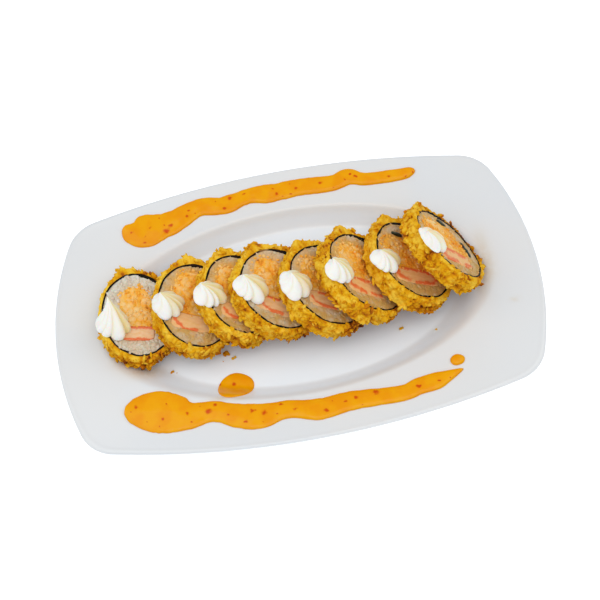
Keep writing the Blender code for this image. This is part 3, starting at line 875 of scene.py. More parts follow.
SLICES = (
    SlicePlan(
        -89.5, 3.2, 18, -10, 20.5, 25.6, 12, 0.8, (0.2, -7.4), 9.9, 9.0, 24.0, 6, -0.05, 0.50, 104, 0.0,
        skins=((0.9, ((-6.5, -8.6), (8.6, -7.6))), (0.9, ((-6.0, -16.0), (9.5, -14.7))),
               (0.6, ((-4.5, -8.5), (-8.0, -15.0)))),
        spots=((4.5, 4.4, 1.3), (6.5, 2.4, 0.8)),
        lap_at=67,
    ),
    SlicePlan(
        -56.0, 1.7, 23, -2, 21.8, 26.1, 2, 0.3, (-2.0, -6.5), 12.5, 10.0, 26.5, -12, -0.12, 0.65, 95, 0.75,
        skins=((0.95, ((-13.0, -8.1), (-11.3, -11.8), (-7.6, -15.2), (-0.9, -16.0))),),
        tears=((251, 7),),
    ),
    SlicePlan(
        -29.0, 2.1, 30, 3, 22.2, 25.4, 0, 0.3, (-2.0, -7.0), 12.5, 10.0, 23.5, -10, -0.20, 0.80, 104, 0.8,
        skins=((0.9, ((-13.0, -9.0), (-11.0, -13.0), (-6.0, -16.0))),),
        tears=((255, 4), (266, 3), (277, 4)),
    ),
    SlicePlan(
        -6.7, 0.2, 31, -2, 25.4, 25.0, 0, 0.3, (-3.0, -7.0), 14.0, 10.0, 23.5, -14, -0.27, 0.80, 117, 0.5,
        skins=((0.9, ((-13.9, -8.5), (-12.4, -12.0), (-7.3, -15.2), (-2.0, -16.2))),
               (0.7, ((-9.0, -6.5), (-3.0, -8.2)))),
        tears=((109, 9),),
        spots=((-12.7, 16.0, 0.9), (-1.2, -6.4, 0.9)),
    ),
    SlicePlan(
        20.1, -2.9, 32.5, 6, 24.7, 25.8, -4, 0.3, (-2.0, -6.5), 13.5, 10.0, 21.5, -14, -0.35, 0.85, 119, 0.7,
        skins=((1.0, ((-14.3, -7.6), (-12.6, -11.4), (-7.8, -14.2), (-1.9, -15.9))),
               (0.8, ((-9.0, -5.7), (-2.0, -7.6)))),
    ),
    SlicePlan(
        41.6, -1.2, 42.5, 10, 25.6, 25.7, -4, 0.3, (-3.0, -5.5), 15.0, 11.0, 22.5, -12, -0.20, 0.85, 104,
        0.95,
        skins=((1.3, ((-16.3, -9.5), (-7.9, -14.0))), (1.2, ((-4.0, -15.0), (2.0, -16.0))),
               (1.1, ((-12.0, -5.0), (4.8, -9.0))), (1.0, ((-16.4, -4.5), (-16.3, -9.5)))),
        spots=((1.2, 18.0, 1.0),),
    ),
    SlicePlan(
        69.0, 2.5, 35, 13, 24.1, 26.2, -5, 0.3, (-2.5, -6.5), 15.0, 10.5, 20.5, -14, -0.30, 0.85, 104, 0.95,
        skins=((1.2, ((-12.0, -5.2), (-5.0, -6.6), (1.6, -8.7))),
               (1.2, ((1.6, -8.7), (7.0, -11.0), (9.5, -14.0))),
               (1.3, ((-6.5, -15.8), (4.5, -17.2), (9.5, -14.5))),
               (1.4, ((-16.3, -6.0), (-15.2, -10.6), (-11.0, -12.8)))),
        spots=((-0.1, 10.6, 0.8),),
    ),
    SlicePlan(
        89.6, 4.8, 52, 18, 25.5, 23.9, -8, 2.3, (-2.5, -5.0), 15.0, 11.0, 21.0, -14, -0.10, 0.85, 104, 0.9,
        skins=((1.8, ((-16.6, -7.0), (-11.0, -4.6), (-2.9, -6.2), (6.1, -8.8))),
               (1.6, ((-13.0, -12.4), (-6.4, -13.6))),
               (1.4, ((1.5, -15.6), (9.5, -15.2))), (1.4, ((-16.4, -6.8), (-14.5, -12.0)))),
    ),
)


CREAMS = (
    CreamPlan(-13.0, -9.4, 8.7, 13.7, 1.3, 12.0),
    CreamPlan(-16.4, -1.7, 8.5, 10.8, -1.8, 4.2),
    CreamPlan(-20.6, -2.1, 8.5, 10.2, -2.6, 3.4),
    CreamPlan(-19.3, -3.4, 9.1, 11.0, -2.2, 4.4),
    CreamPlan(-23.6, -2.1, 9.1, 10.6, -0.3, 3.5),
    CreamPlan(-23.7, -2.3, 8.4, 10.6, -1.5, 3.3),
    CreamPlan(-22.4, -1.1, 8.2, 10.1, -1.7, 3.0),
    CreamPlan(-24.0, -2.6, 8.7, 9.0, -1.9, 2.4),
)

# Dark green strips in the rice: slice, then the two ends on the face
GREENS = {
    "green_7": (7, (-5.8, 19.3), (0.6, 16.2)),
    "green_8a": (8, (4.6, 18.0), (11.4, 14.6)),
    "green_8b": (8, (16.2, 3.0), (16.4, -8.0)),
}


class SliceFrame:
    """The slanting frame of one slice, and the outlines that its layers share."""

    def __init__(self, number: int, plan: SlicePlan, plate: Plate) -> None:
        """Set the frame so that the slice's lowest edge rests on the well's floor.

        Args:
            number: The slice's number along the row.
            plan: Its sizes.
            plate: What it stands on.
        """
        self.number = number
        self.plan = plan
        self.plate = plate
        draw = random.Random(SEED + number)
        self.wobble_at = np.arange(OVAL_POINTS) * TAU / OVAL_POINTS
        self.wobble = np.array([draw.uniform(*OVAL_WOBBLE) for _ in range(OVAL_POINTS)])
        tilt, turn = math.radians(plan.tilt), math.radians(plan.turn)
        self.rotation = np.array(Matrix.Rotation(turn, 3, "Z") @ Matrix.Rotation(tilt, 3, "Y"))
        down = self.oval(self.wobble_at, CRUST)[..., 0]
        lowest = np.min(-SLICE_LENGTH * math.cos(tilt) - down * math.sin(tilt))
        self.origin = np.array([plan.x, plan.y, plate.floor_height + plan.lift - lowest])

    def random(self, layer: int) -> np.random.Generator:
        """Random numbers of this slice's own for one of its layers."""
        return np.random.default_rng((SEED, self.number, layer))

    def oval(self, angle: Array, grow: Array | float) -> Array:
        """Points (cos a, sin a) times the half sizes, wobbled, grown outwards and turned with the oval."""
        wobble = np.interp(angle, self.wobble_at, self.wobble, period=TAU)
        x = (self.plan.half_down * (1 + wobble) + grow) * np.cos(angle)
        y = (self.plan.half_across * (1 + wobble) + grow) * np.sin(angle)
        cos, sin = math.cos(math.radians(self.plan.oval_turn)), math.sin(math.radians(self.plan.oval_turn))
        return np.stack([x * cos - y * sin, x * sin + y * cos], -1)

    def pocket(self, angle: Array, shrink: float = 0.0) -> Array:
        """Superellipse (|cos/a|^p + |sin/b|^p)^(-1/p): leaning filling above, crab stick below."""
        plan = self.plan
        above = (angle % TAU) <= math.pi
        reach = np.where(above, plan.filling_height - shrink, plan.crab_depth - shrink)
        power = np.where(above, FILLING_SQUARENESS, CRAB_SQUARENESS)
        flat = np.abs(np.cos(angle) / (plan.pocket_half - shrink)) ** power
        radius = (flat + np.abs(np.sin(angle) / reach) ** power) ** (-1 / power)
        x, y = radius * np.cos(angle), radius * np.sin(angle)
        x = x + np.where(above, plan.filling_lean * y, 0.0)
        cos, sin = math.cos(math.radians(plan.pocket_turn)), math.sin(math.radians(plan.pocket_turn))
        return np.stack([plan.pocket[0] + x * cos - y * sin, plan.pocket[1] + x * sin + y * cos], -1)

    def half_pocket(self, count: int, upper: bool) -> Array:
        """Closed outline of the filling, or of the crab stick, with a straight side where the two meet."""
        start = 0.0 if upper else math.pi
        curved = self.pocket(np.linspace(start, start + math.pi, count - count // 4), GAP)
        straight = np.linspace(0, 1, count // 4 + 2)[1:-1, None]
        across = curved[-1] + (curved[0] - curved[-1]) * straight
        turn = math.radians(self.plan.pocket_turn)
        aside = np.array([-math.sin(turn), math.cos(turn)]) * (SEAM / 2 if upper else -SEAM / 2)
        return np.concatenate([curved, across]) + aside

    def beside_filling(self, flat: Array, reach: float) -> Array:
        """How near each place lies to the filling, exp(-(distance / reach)^2), as a stain spreads."""
        outline = self.pocket(np.linspace(0, math.pi, 60))
        gap = flat[..., None, :] - outline
        return np.exp(-(np.min((gap**2).sum(-1), -1) / reach**2))

    def spotted(self, flat: Array) -> Array:
        """How near each place lies to a dark bit, as bells that stand about their middles."""
        return np.minimum(bells(flat, [(x, y, half, half, 1.0) for x, y, half in self.plan.spots]), 1)

    def place(self, points: Array) -> Array:
        """Points of the slice's frame in the shared one."""
        return points @ self.rotation.T + self.origin

    def rest(self, surface: Surface) -> Surface:
        """Carry a surface into the shared frame, pressed flat where it would sink into the plate."""
        surface.points = self.place(surface.points)
        return self.plate.press(surface, FOOD_CLEAR)


@dataclass(frozen=True)
class CrumbCoat:
    """The fried coat round a slice: a clumpy band, thin on its uphill side, with flakes of crumb on it."""

    slice: SliceFrame
    columns: int = 440
    rows: int = 60
    base: float = 2.5
    corner: float = 1.1
    flakes: int = 600
    flake_half: tuple[float, float] = (0.55, 2.7)
    ridge: float = 4.5
    ridge_span: float = math.radians(9)
    wall_end: float = -10.2
    back_end: float = -11.4
    clump_size: float = 4.4
    lump_size: float = 2.0
    dark_flake_share: float = 0.05

    def keep(self, angle: Array) -> Array:
        """Share of its thickness that the coat keeps, less on the uphill side."""
        return 1 - (1 - self.slice.plan.uphill_share) * bump(angle, UPHILL_AT, UPHILL_SPAN)

    def profile(self) -> Array:
        """Places (share, out, down, out-facing, up-facing) round the band's section, from the nori's edge."""
        turn = np.linspace(0, math.pi / 2, 6)
        face = np.linspace(SEAM, self.base - self.corner, 6)[:-1]
        front = np.stack([face, 0 * face, 0 * face, 0 * face + 1], -1)
        over = np.stack([self.base + self.corner * (np.sin(turn) - 1), self.corner * (np.cos(turn) - 1),
                         np.sin(turn), np.cos(turn)], -1)
        drop = np.linspace(-self.corner, self.wall_end, 16)[1:]
        wall = np.stack([0 * drop + self.base, drop, 0 * drop + 1, 0 * drop], -1)
        slant = np.linspace(0, 1, 7)[1:, None]
        from_wall = np.array([self.base, self.wall_end, 0.7, -0.7])
        to_edge = np.array([GAP, self.back_end, 0.2, -0.98])
        back = from_wall * (1 - slant) + to_edge * slant
        rows = np.concatenate([front, over, wall, back])
        run = np.cumsum(np.r_[0, np.linalg.norm(np.diff(rows[:, :2], axis=0), axis=1)])
        return np.column_stack([run / run[-1], rows])

    def at(self, angle: Array, share: Array) -> tuple[Array, Array, Array]:
        """Points on the clumpy band, the directions that they face, and their tone.

        The section is carried round the oval. It is moved out by two sizes of clumps, each clump by its
        own amount, by broad noise and, along the roll, by a ridge at one angle. The creases between the
        clumps are painted darker as shade, and each clump has its own tone.
        """
        table = self.profile()
        out, down, facing_out, facing_up = (np.interp(share, table[:, 0], table[:, k]) for k in range(1, 5))
        keep = self.keep(angle)
        free = np.clip((out - GAP) / 1.2, 0, 1) * (0.35 + 0.65 * keep)
        grow = GAP + (out - GAP) * keep
        level = lifted(self.slice.oval(angle, grow), down) + self.slice.number * 50
        coarse, own = clumps(level, self.clump_size, 1)
        fine, small = clumps(level, self.lump_size, 2)
        rough = (coarse - 0.6) * (0.7 + 2.2 * own) + (fine - 0.6) * (0.4 + 1.1 * small)
        rough += 0.4 * noise(level, 6.0, 3) + 0.35 * noise(level, 11.0, 4)
        rests = smoothstep((np.cos(angle) - 0.25) / 0.3)
        rough = np.where(rough > 0, rough * (1 - 0.6 * rests), rough)
        moved = rough * free
        ridge = self.ridge * crest(angle, math.radians(self.slice.plan.ridge_at), self.ridge_span) * free
        point = self.slice.oval(angle, grow + moved * facing_out + ridge)
        points = lifted(point, down + moved * facing_up * 0.7)
        radial = unit(self.slice.oval(angle, CRUST + 1) - self.slice.oval(angle, CRUST))
        facing = lifted(radial * facing_out[..., None], facing_up)
        # painted shade: darker in the creases between clumps, with each clump's own tone
        tone = 0.34 * (own - 0.5) + 0.18 * (small - 0.5) + 0.7 * (0.7 - coarse) + 0.4 * (0.75 - fine)
        tone -= 0.5 * (1 - keep)
        return points, unit(facing), tone

    def tone(self, points: Array) -> Array:
        """Brown patches in the gold, and darker towards the plate."""
        patches = 0.26 * noise(points, 9.0, 7) + 0.26 * noise(points, 4.0, 8)
        low = smoothstep((32 - points[..., 2]) / 18) * 0.34
        return 0.33 + patches + low

    def surface(self) -> Surface:
        """The band, and long rough flakes lying half sunk in it."""
        generator = self.slice.random(1)
        angle, share = np.meshgrid(np.arange(self.columns) * TAU / self.columns, np.linspace(0, 1, self.rows))
        grid, _, tone = self.at(angle, share)
        inner = grid[[-1, 0]].mean(0, keepdims=True)
        band = hoop(np.concatenate([grid, inner]), {"tone": np.concatenate([tone, tone[:1]])})
        angle = generator.uniform(0, TAU, self.flakes)
        share = generator.uniform(0.02, 0.95, self.flakes)
        centres, facing, _ = self.at(angle, share)
        low, high = self.flake_half
        half = low + (high - low) * generator.random(self.flakes) ** 2.3
        half *= np.clip(1.6 * self.keep(angle) - 0.6, 0.25, 1)
        shares = np.column_stack([np.ones(self.flakes), generator.uniform(0.35, 0.8, self.flakes),
                                  generator.uniform(0.22, 0.5, self.flakes)])
        scales = half[:, None] * shares
        centres = centres + facing * (half * generator.uniform(-0.1, 0.35, self.flakes))[:, None]
        aside = np.cross(facing, generator.normal(size=facing.shape))
        turns = turns_about(unit(aside) + 0.45 * facing, generator)
        shape = lump()
        rough = generator.uniform(-0.32, 0.36, (self.flakes, len(shape.points)))
        loose = scattered(shape, centres, turns, scales, rough, np.zeros(self.flakes))
        band = self.slice.rest(band)
        loose = self.slice.rest(loose)
        band.values["tone"] = band.values["tone"] + self.tone(band.points)
        own = generator.normal(-0.03, 0.15, self.flakes)
        own += (generator.random(self.flakes) > 1 - self.dark_flake_share) * 0.22
        own -= 0.45 * (1 - self.keep(angle))
        loose.values["tone"] = self.tone(loose.points) + np.repeat(own, len(shape.points))
        return join([band, loose])


@dataclass(frozen=True)
class SeaweedWrap:
    """The seaweed round the rice: a thin wavy band, double where the sheet's end laps over."""

    slice: SliceFrame
    columns: int = 360
    thickness: float = 0.8
    overlap: float = 1.2
    overlap_span: float = math.radians(17)
    inset: float = -0.1
    back_inset: float = 0.1

    def wall(self, angle: Array) -> Array:
        """Thickness at an angle."""
        lap_at = math.radians(self.slice.plan.lap_at)
        return self.thickness + self.overlap * bump(angle, lap_at, self.overlap_span)

    def surface(self) -> Surface:
        """A section of two edges and two walls carried round the oval, moved in and out by noise."""
        angle = np.arange(self.columns) * TAU / self.columns
        torn = sum((bump(angle, math.radians(at), math.radians(span)) for at, span in self.slice.plan.tears),
                   np.zeros(self.columns))
        depth = np.linspace(0, 1, 7)
        rows = []
        for inner, order in ((0.0, depth), (1.0, depth[::-1])):
            for share in order:
                down = -self.inset - (SLICE_LENGTH - self.inset - self.back_inset) * share
                here = lifted(self.slice.oval(angle, 0.0), down)
                wave = 0.25 * noise(here + 9 * self.slice.number, 4.0, 11)
                edge = 0.3 * noise(here, 1.3, 12) if share == 0 else 0.0
                grow = wave - inner * self.wall(angle) * (1 + 0.45 * noise(here, 2.6, 13))
                rows.append(lifted(self.slice.oval(angle, grow), here[:, 2] + edge))
        grid = np.array(rows)
        return self.slice.rest(hoop(grid, {"torn": np.broadcast_to(torn, grid.shape[:2])}))


@dataclass(frozen=True)
class RiceRing:
    """The rice between the seaweed and the pocket, with whole grains pressed into its cut faces."""

    slice: SliceFrame
    wrap: SeaweedWrap
    columns: int = 300
    grains: int = 900
    grain_apart: float = 1.9
    back_apart: float = 2.6
    grain_half: tuple[float, float, float] = (2.4, 1.2, 1.1)
    lump_size: float = 2.6
    lump_height: float = 0.5
    sunk: float = 0.3
    back_sunk: float = 0.35
    stain_reach: float = 3.4

    def lay(self, angle: Array, share: Array) -> Array:
        """Places between the seaweed (share 0) and the pocket (share 1)."""
        outer = self.slice.oval(angle, -self.wrap.wall(angle) - SEAM)
        return outer + (self.slice.pocket(angle, GAP - SEAM) - outer) * share[..., None]

    def core(self) -> Surface:
        """A ring with lumpy cut faces, a little under the tops of its grains."""
        angle = np.arange(self.columns) * TAU / self.columns
        rows, tones = [], []
        for side, share in both_faces(np.linspace(0, 1, 22)):
            flat = self.lay(angle, np.full(self.columns, share))
            level = -self.sunk if side is Side.FRONT else self.back_sunk - SLICE_LENGTH
            height, own = clumps(lifted(flat) + self.slice.number * 40, self.lump_size, 21)
            rows.append(lifted(flat, level + self.lump_height * (height - 0.7)))
            # tone: each lump's own, plus painted shade in the hollows between lumps
            tones.append(0.40 + 0.15 * (own - 0.5) + 0.35 * (0.75 - height))
        return hoop(np.array(rows), {"tone": np.array(tones)})

    def grains_on(self, side: Side) -> Surface:
        """Grains lying nearly flat on one cut face, spread evenly and mostly sunk."""
        generator = self.slice.random(3 if side is Side.FRONT else 4)
        angle = generator.uniform(0, TAU, self.grains)
        share = np.sqrt(generator.uniform(0.0, 1.0, self.grains))
        flat = self.lay(angle, 1 - share * 0.92 - 0.04)
        flat = flat[apart(flat, self.grain_apart if side is Side.FRONT else self.back_apart)]
        count = len(flat)
        proud = -0.7 - 0.3 * min(1.0, 2 * self.slice.plan.browned)
        level = np.full(count, proud if side is Side.FRONT else 0.75 - SLICE_LENGTH)
        lying = generator.uniform(0, TAU, count)
        axis = lifted(np.stack([np.cos(lying), np.sin(lying)], -1), generator.normal(0, 0.12, count))
        scales = np.array(self.grain_half) * generator.uniform(0.85, 1.1, (count, 1))
        scales[:, 0] *= generator.uniform(0.55, 1.0, count)
        centres = lifted(flat, level + generator.uniform(-0.25, 0.2, count))
        shape = grain()
        rough = generator.uniform(-0.07, 0.07, (count, len(shape.points)))
        tones = np.clip(generator.normal(0.36, 0.09, count), 0, 1)
        return scattered(shape, centres, turns_about(axis, generator), scales, rough, tones)

    def surface(self) -> Surface:
        """Core and grains in one, with the browning and the filling's stain on them."""
        surface = join([self.core(), self.grains_on(Side.FRONT), self.grains_on(Side.BACK)])
        flat = surface.points[:, :2]
        browned = self.slice.plan.browned
        patchy = 0.75 + 0.5 * noise(surface.points, 3.0, 22)
        stain = self.slice.beside_filling(flat, self.stain_reach) * (0.2 + browned) * patchy
        low = 0.35 * smoothstep((-6 - flat[:, 1]) / 12)
        surface.values["browned"] = browned + low
        surface.values["stain"] = np.clip(stain, 0, 0.9)
        surface.values["tone"] = surface.values["tone"] + 0.9 * self.slice.spotted(flat)
        return self.slice.rest(surface)


@dataclass(frozen=True)
class FillingBed:
    """The dressed filling: a clumpy bed with bits and shreds on its cut faces."""

    slice: SliceFrame
    columns: int = 200
    bits: int = 600
    bit_apart: float = 1.7
    back_apart: float = 1.9
    bit_half: tuple[float, float, float] = (1.35, 1.1, 0.8)
    shred_half: tuple[float, float, float] = (2.1, 0.7, 0.6)
    shred_share: float = 0.25
    spread: float = 1.14
    lump_size: float = 2.9
    lump_height: float = 0.9

    def places(self, generator: np.random.Generator, count: int) -> Array:
        """Random places in the filling's outline, and a little way over the rice round it."""
        outline = self.slice.half_pocket(self.columns, True)
        middle = outline.mean(0)
        rim = outline[generator.integers(0, len(outline), count)]
        return middle + (rim - middle) * (np.sqrt(generator.random(count)) * self.spread)[:, None]

    def tone(self, points: Array) -> Array:
        """Orange in patches, paler where the slice isn't browned, and dark at its spots."""
        browned = self.slice.plan.browned
        patches = 0.24 * noise(points + self.slice.number * 30, 5.0, 33)
        side = smoothstep((points[..., 0] + 1) / 9) * 0.12
        return 0.20 + 0.22 * browned + patches + side + 0.8 * self.slice.spotted(points[..., :2])

    def bed(self) -> Surface:
        """Rings shrinking to the outline's middle on both cut faces, with clumps in their height."""
        outline = self.slice.half_pocket(self.columns, True)
        middle = outline.mean(0)
        rows, tones = [], []
        for side, share in both_faces(np.linspace(0.05, 1, 26)):
            flat = middle + (outline - middle) * share
            here = lifted(flat)
            height, own = clumps(here + self.slice.number * 30, self.lump_size, 31)
            front = -0.15 + self.lump_height * (height - 0.65)
            rows.append(lifted(flat, front if side is Side.FRONT else 0.3 - SLICE_LENGTH))
            # tone: patches and each lump's own, plus painted shade in the hollows between lumps
            tones.append(self.tone(here) + 0.25 * (own - 0.5) + 0.5 * (0.72 - height))
        return tube(np.array(rows), {"tone": np.array(tones)})

    def bits_on(self, side: Side) -> Surface:
        """Rounded bits and long shreds, spread evenly and half sunk."""
        generator = self.slice.random(5 if side is Side.FRONT else 6)
        flat = self.places(generator, self.bits)
        flat = flat[apart(flat, self.bit_apart if side is Side.FRONT else self.back_apart)]
        count = len(flat)
        level = -0.4 if side is Side.FRONT else 0.45 - SLICE_LENGTH
        centres = lifted(flat, level + generator.uniform(-0.3, 0.2, count))
        axis = generator.normal(size=(count, 3)) * (1, 1, 0.3)
        turns = turns_about(axis, generator)
        long = generator.random(count) < self.shred_share
        tones = self.tone(centres) + generator.normal(-0.03, 0.12, count)
        parts = []
        kinds = ((lump(), ~long, self.bit_half, 0.25), (grain(), long, self.shred_half, 0.12))
        for shape, chosen, half, spread in kinds:
            number = int(chosen.sum())
            scales = np.array(half) * generator.uniform(0.6, 1.15, (number, 1))
            rough = generator.uniform(-spread, spread, (number, len(shape.points)))
            parts.append(scattered(shape, centres[chosen], turns[chosen], scales, rough, tones[chosen]))
        return join(parts)

    def surface(self) -> Surface:
        """Bed and bits in one."""
        return self.slice.rest(join([self.bed(), self.bits_on(Side.FRONT), self.bits_on(Side.BACK)]))


@dataclass(frozen=True)
class CrabStick:
    """The crab stick: a squarish block of flesh with ragged lines of red skin on its cut faces."""

    slice: SliceFrame
    columns: int = 260
    ragged: float = 0.7
    fibre_height: float = 0.2
    skin_height: float = 0.2
    edge_drop: float = 0.7

    def skin(self, flat: Array) -> Array:
        """How near each place lies to a line of skin, from 1 on it to 0 beyond its ragged width.

        The distance to a run of places is the least over its straight parts, each held to its ends.
        """
        nearest = np.full(flat.shape[:-1], np.inf)
        for half, line in self.slice.plan.skins:
            for start, end in zip(line, line[1:]):
                first, along = np.array(start), np.subtract(end, start)
                share = np.clip((flat - first) @ along / (along @ along), 0, 1)
                away = np.linalg.norm(flat - first - share[..., None] * along, axis=-1) / half
                nearest = np.minimum(nearest, away)
        here = lifted(flat) + self.slice.number * 20
        nearest = nearest + self.ragged * (noise(here, 1.9, 42) + 0.6 * noise(here, 0.9, 43))
        return np.clip(1.3 - 0.75 * nearest, 0, 1)

    def surface(self) -> Surface:
        """Rings shrinking to the outline's middle, with rounded edges, fibres and raised skin."""
        outline = self.slice.half_pocket(self.columns, False)
        middle = outline.mean(0)
        shares = np.concatenate([np.linspace(0.04, 0.9, 34), [0.94, 0.97, 0.99, 1.0]])
        rows, skins = [], []
        for side, share in both_faces(shares):
            flat = middle + (outline - middle) * share
            rounding = self.edge_drop * max(0.0, (share - 0.9) / 0.1) ** 2.5
            fibres = self.fibre_height * noise(lifted(flat * (0.4, 1.0)), 1.3, 41)
            skin = self.skin(flat)
            front = 0.05 + fibres + self.skin_height * skin - rounding
            rows.append(lifted(flat, front if side is Side.FRONT else 0.2 - SLICE_LENGTH - 0.3 * fibres))
            skins.append(skin)
        skins = np.array(skins)
        browned = np.full(skins.shape, self.slice.plan.browned)
        return self.slice.rest(tube(np.array(rows), {"skin": skins, "browned": browned}))


@dataclass(frozen=True)
class CreamSwirl:
    """A star-piped swirl of cream that leans up from the slanting face."""

    slice: SliceFrame
    plan: CreamPlan
    ridges: int = 8
    columns: int = 192
    rings: int = 64
    ridge_depth: float = 0.30
    smooth_side: float = 0.12
    smooth_at: float = math.radians(165)
    # angle of the side painted with cream-yellow shade
    shaded_side_at: float = math.radians(25)
    twist: float = math.radians(38)
    lobes: tuple[float, float] = (0.055, 0.05)
    stretch: float = 1.15
    levelling: float = 0.75
    profile: tuple = ((0.0, 0.80), (0.03, 0.93), (0.10, 1.0), (0.26, 0.96), (0.45, 0.77), (0.64, 0.50),
                      (0.82, 0.25), (0.94, 0.09), (1.0, 0.015))

    def surface(self) -> Surface:
        """Star-shaped rings along a curve from the base to the tip.

        The middle runs on a curve of second order, base + 2s(1 - s) knee + s^2 tip. A ring's radius is
        the profile's width times 1 - depth * groove, where the groove is 1 - |sin| round the ring: sharp
        in its bottom, with round ridges between. It is shallower on the uphill side, two slow waves round
        the ring make each swirl uneven, and the rings turn towards level and twist on their way up.
        """
        plan = self.plan
        to_face = self.slice.rotation.T
        tip = to_face @ np.array([plan.lean_x, plan.lean_y, plan.height])
        upright = to_face @ np.array([0.0, 0.0, 1.0])
        base = np.array([plan.down, plan.across, 0.1])
        knee = np.array([0.0, 0.0, plan.height / 2])
        share = np.linspace(0, 1, self.rings)[:, None]
        table = np.array(self.profile)
        width = np.interp(share, table[:, 0], table[:, 1])
        kernel = np.hanning(9)[1:-1]
        padded = np.pad(width[:, 0], 3, mode="reflect", reflect_type="odd")
        width = np.convolve(padded, kernel / kernel.sum(), "valid")[:, None]
        middle = base + 2 * share * (1 - share) * knee + share**2 * tip
        levelled = self.levelling * share
        level = unit(np.array([0.0, 0.0, 1.0]) * (1 - levelled) + upright * levelled)
        side = unit(np.array([1.0, 0.0, 0.0]) - level * level[:, :1])
        other = np.cross(level, side)
        turn = np.linspace(0, TAU, self.columns, endpoint=False)[None]
        groove = (1 - np.abs(np.sin(turn * self.ridges / 2))) ** 1.15
        angle = turn + self.twist * share + 0.22 * np.sin(2 * turn + 2.0 * self.slice.number)
        towards = 0.5 + 0.5 * np.cos(angle - self.shaded_side_at)
        away = 0.6 - 0.6 * np.cos(angle - self.smooth_at)
        deep = (self.smooth_side + (1 - self.smooth_side) * smoothstep(away)) * (1 - 0.2 * share)
        two, three = self.lobes
        phase = 1.9 * self.slice.number
        lobed = 1 + two * np.cos(2 * angle + phase) + three * np.cos(3 * angle + 1.3 * phase)
        radius = plan.radius * np.maximum(width, 0.01) * lobed * (1 - self.ridge_depth * groove * deep)
        along = (self.stretch * radius * np.cos(angle))[..., None]
        across = (radius * np.sin(angle))[..., None]
        grid = middle[:, None] + side[:, None] * along + other[:, None] * across
        grid = grid + side[:, None] * (0.18 * noise(grid, 3.5, self.slice.number))[..., None]
        # painted shade: cream-yellow down in the grooves and on the side at one angle round the swirl
        painted_shade = 0.6 * groove * np.sqrt(deep) + 0.62 * smoothstep((towards - 0.42) / 0.4)
        surface = tube(grid, {"groove": painted_shade})
        surface.points = self.slice.place(surface.points)
        return surface


@dataclass(frozen=True)
class GreenStrip:
    """A dark green strip that runs through the rice."""

    slice: SliceFrame
    start: tuple[float, float]
    end: tuple[float, float]
    width: float = 3.0

    def surface(self) -> Surface:
        """A lens between its two ends, wavy on its face and carried through the slice's length."""
        first, last = np.array(self.start), np.array(self.end)
        along = last - first
        across = np.array([-along[1], along[0]]) / np.linalg.norm(along) * self.width / 2
        angle = np.linspace(0, TAU, 48, endpoint=False)
        share = 0.5 - 0.5 * np.cos(angle)
        side = np.sign(np.sin(angle)) * np.abs(np.sin(angle)) ** 0.6
        outline = first + share[:, None] * along + side[:, None] * across
        middle = outline.mean(0)
        rows = []
        for shrink, level in ((0.1, 0.45), (0.5, 0.45), (0.85, 0.35), (1.0, 0.0), (1.0, -SLICE_LENGTH),
                              (0.5, -SLICE_LENGTH)):
            flat = middle + (outline - middle) * shrink
            lumps = 0.25 * noise(lifted(flat), 1.6, 51)
            rows.append(lifted(flat, level + lumps * (level >= 0)))
        surface = tube(np.array(rows))
        surface.points = self.slice.place(surface.points)
        return surface


class RollRow:
    """The row of eight slices, each with its layers, its cream and its strips."""

    def __init__(self, plate: Plate) -> None:
        """Set up the frames of the slices on the plate."""
        self.frames = [SliceFrame(number, plan, plate) for number, plan in enumerate(SLICES, start=1)]

    def dress(self, crumb: bpy.types.Material) -> None:
        """Add every layer of every slice in place of its solids."""
        seaweed, rice = SeaweedFinish().material(), RiceFinish().material()
        filling, crab, cream = FillingFinish().material(), CrabFinish().material(), CreamFinish().material()
        green = GreenFinish().material()
        for spot, swirl in zip(self.frames, CREAMS):
            wrap = SeaweedWrap(spot)
            layers = (
                ("crumb_coat", "crust", CrumbCoat(spot), crumb, Slot.CRUST, 75.0),
                ("seaweed_wrap", "nori", wrap, seaweed, Slot.NORI, 50.0),
                ("rice_ring", "rice", RiceRing(spot, wrap), rice, Slot.RICE, 60.0),
                ("filling_bed", "filling", FillingBed(spot), filling, Slot.FILLING, 75.0),
                ("crab_stick", "crab", CrabStick(spot), crab, Slot.CRAB, 60.0),
                ("cream_swirl", "cream", CreamSwirl(spot, swirl), cream, Slot.CREAM, 80.0),
            )
            for name, node, layer, material, slot, sharp in layers:
                nodes = (f"{node}_{spot.number}",)
                add_piece(f"{name}_{spot.number}", layer.surface(), material, nodes, sharp)
        for node, (number, start, end) in GREENS.items():
            strip = GreenStrip(self.frames[number - 1], start, end)
            add_piece(f"strip_{node}", strip.surface(), green, (node,))


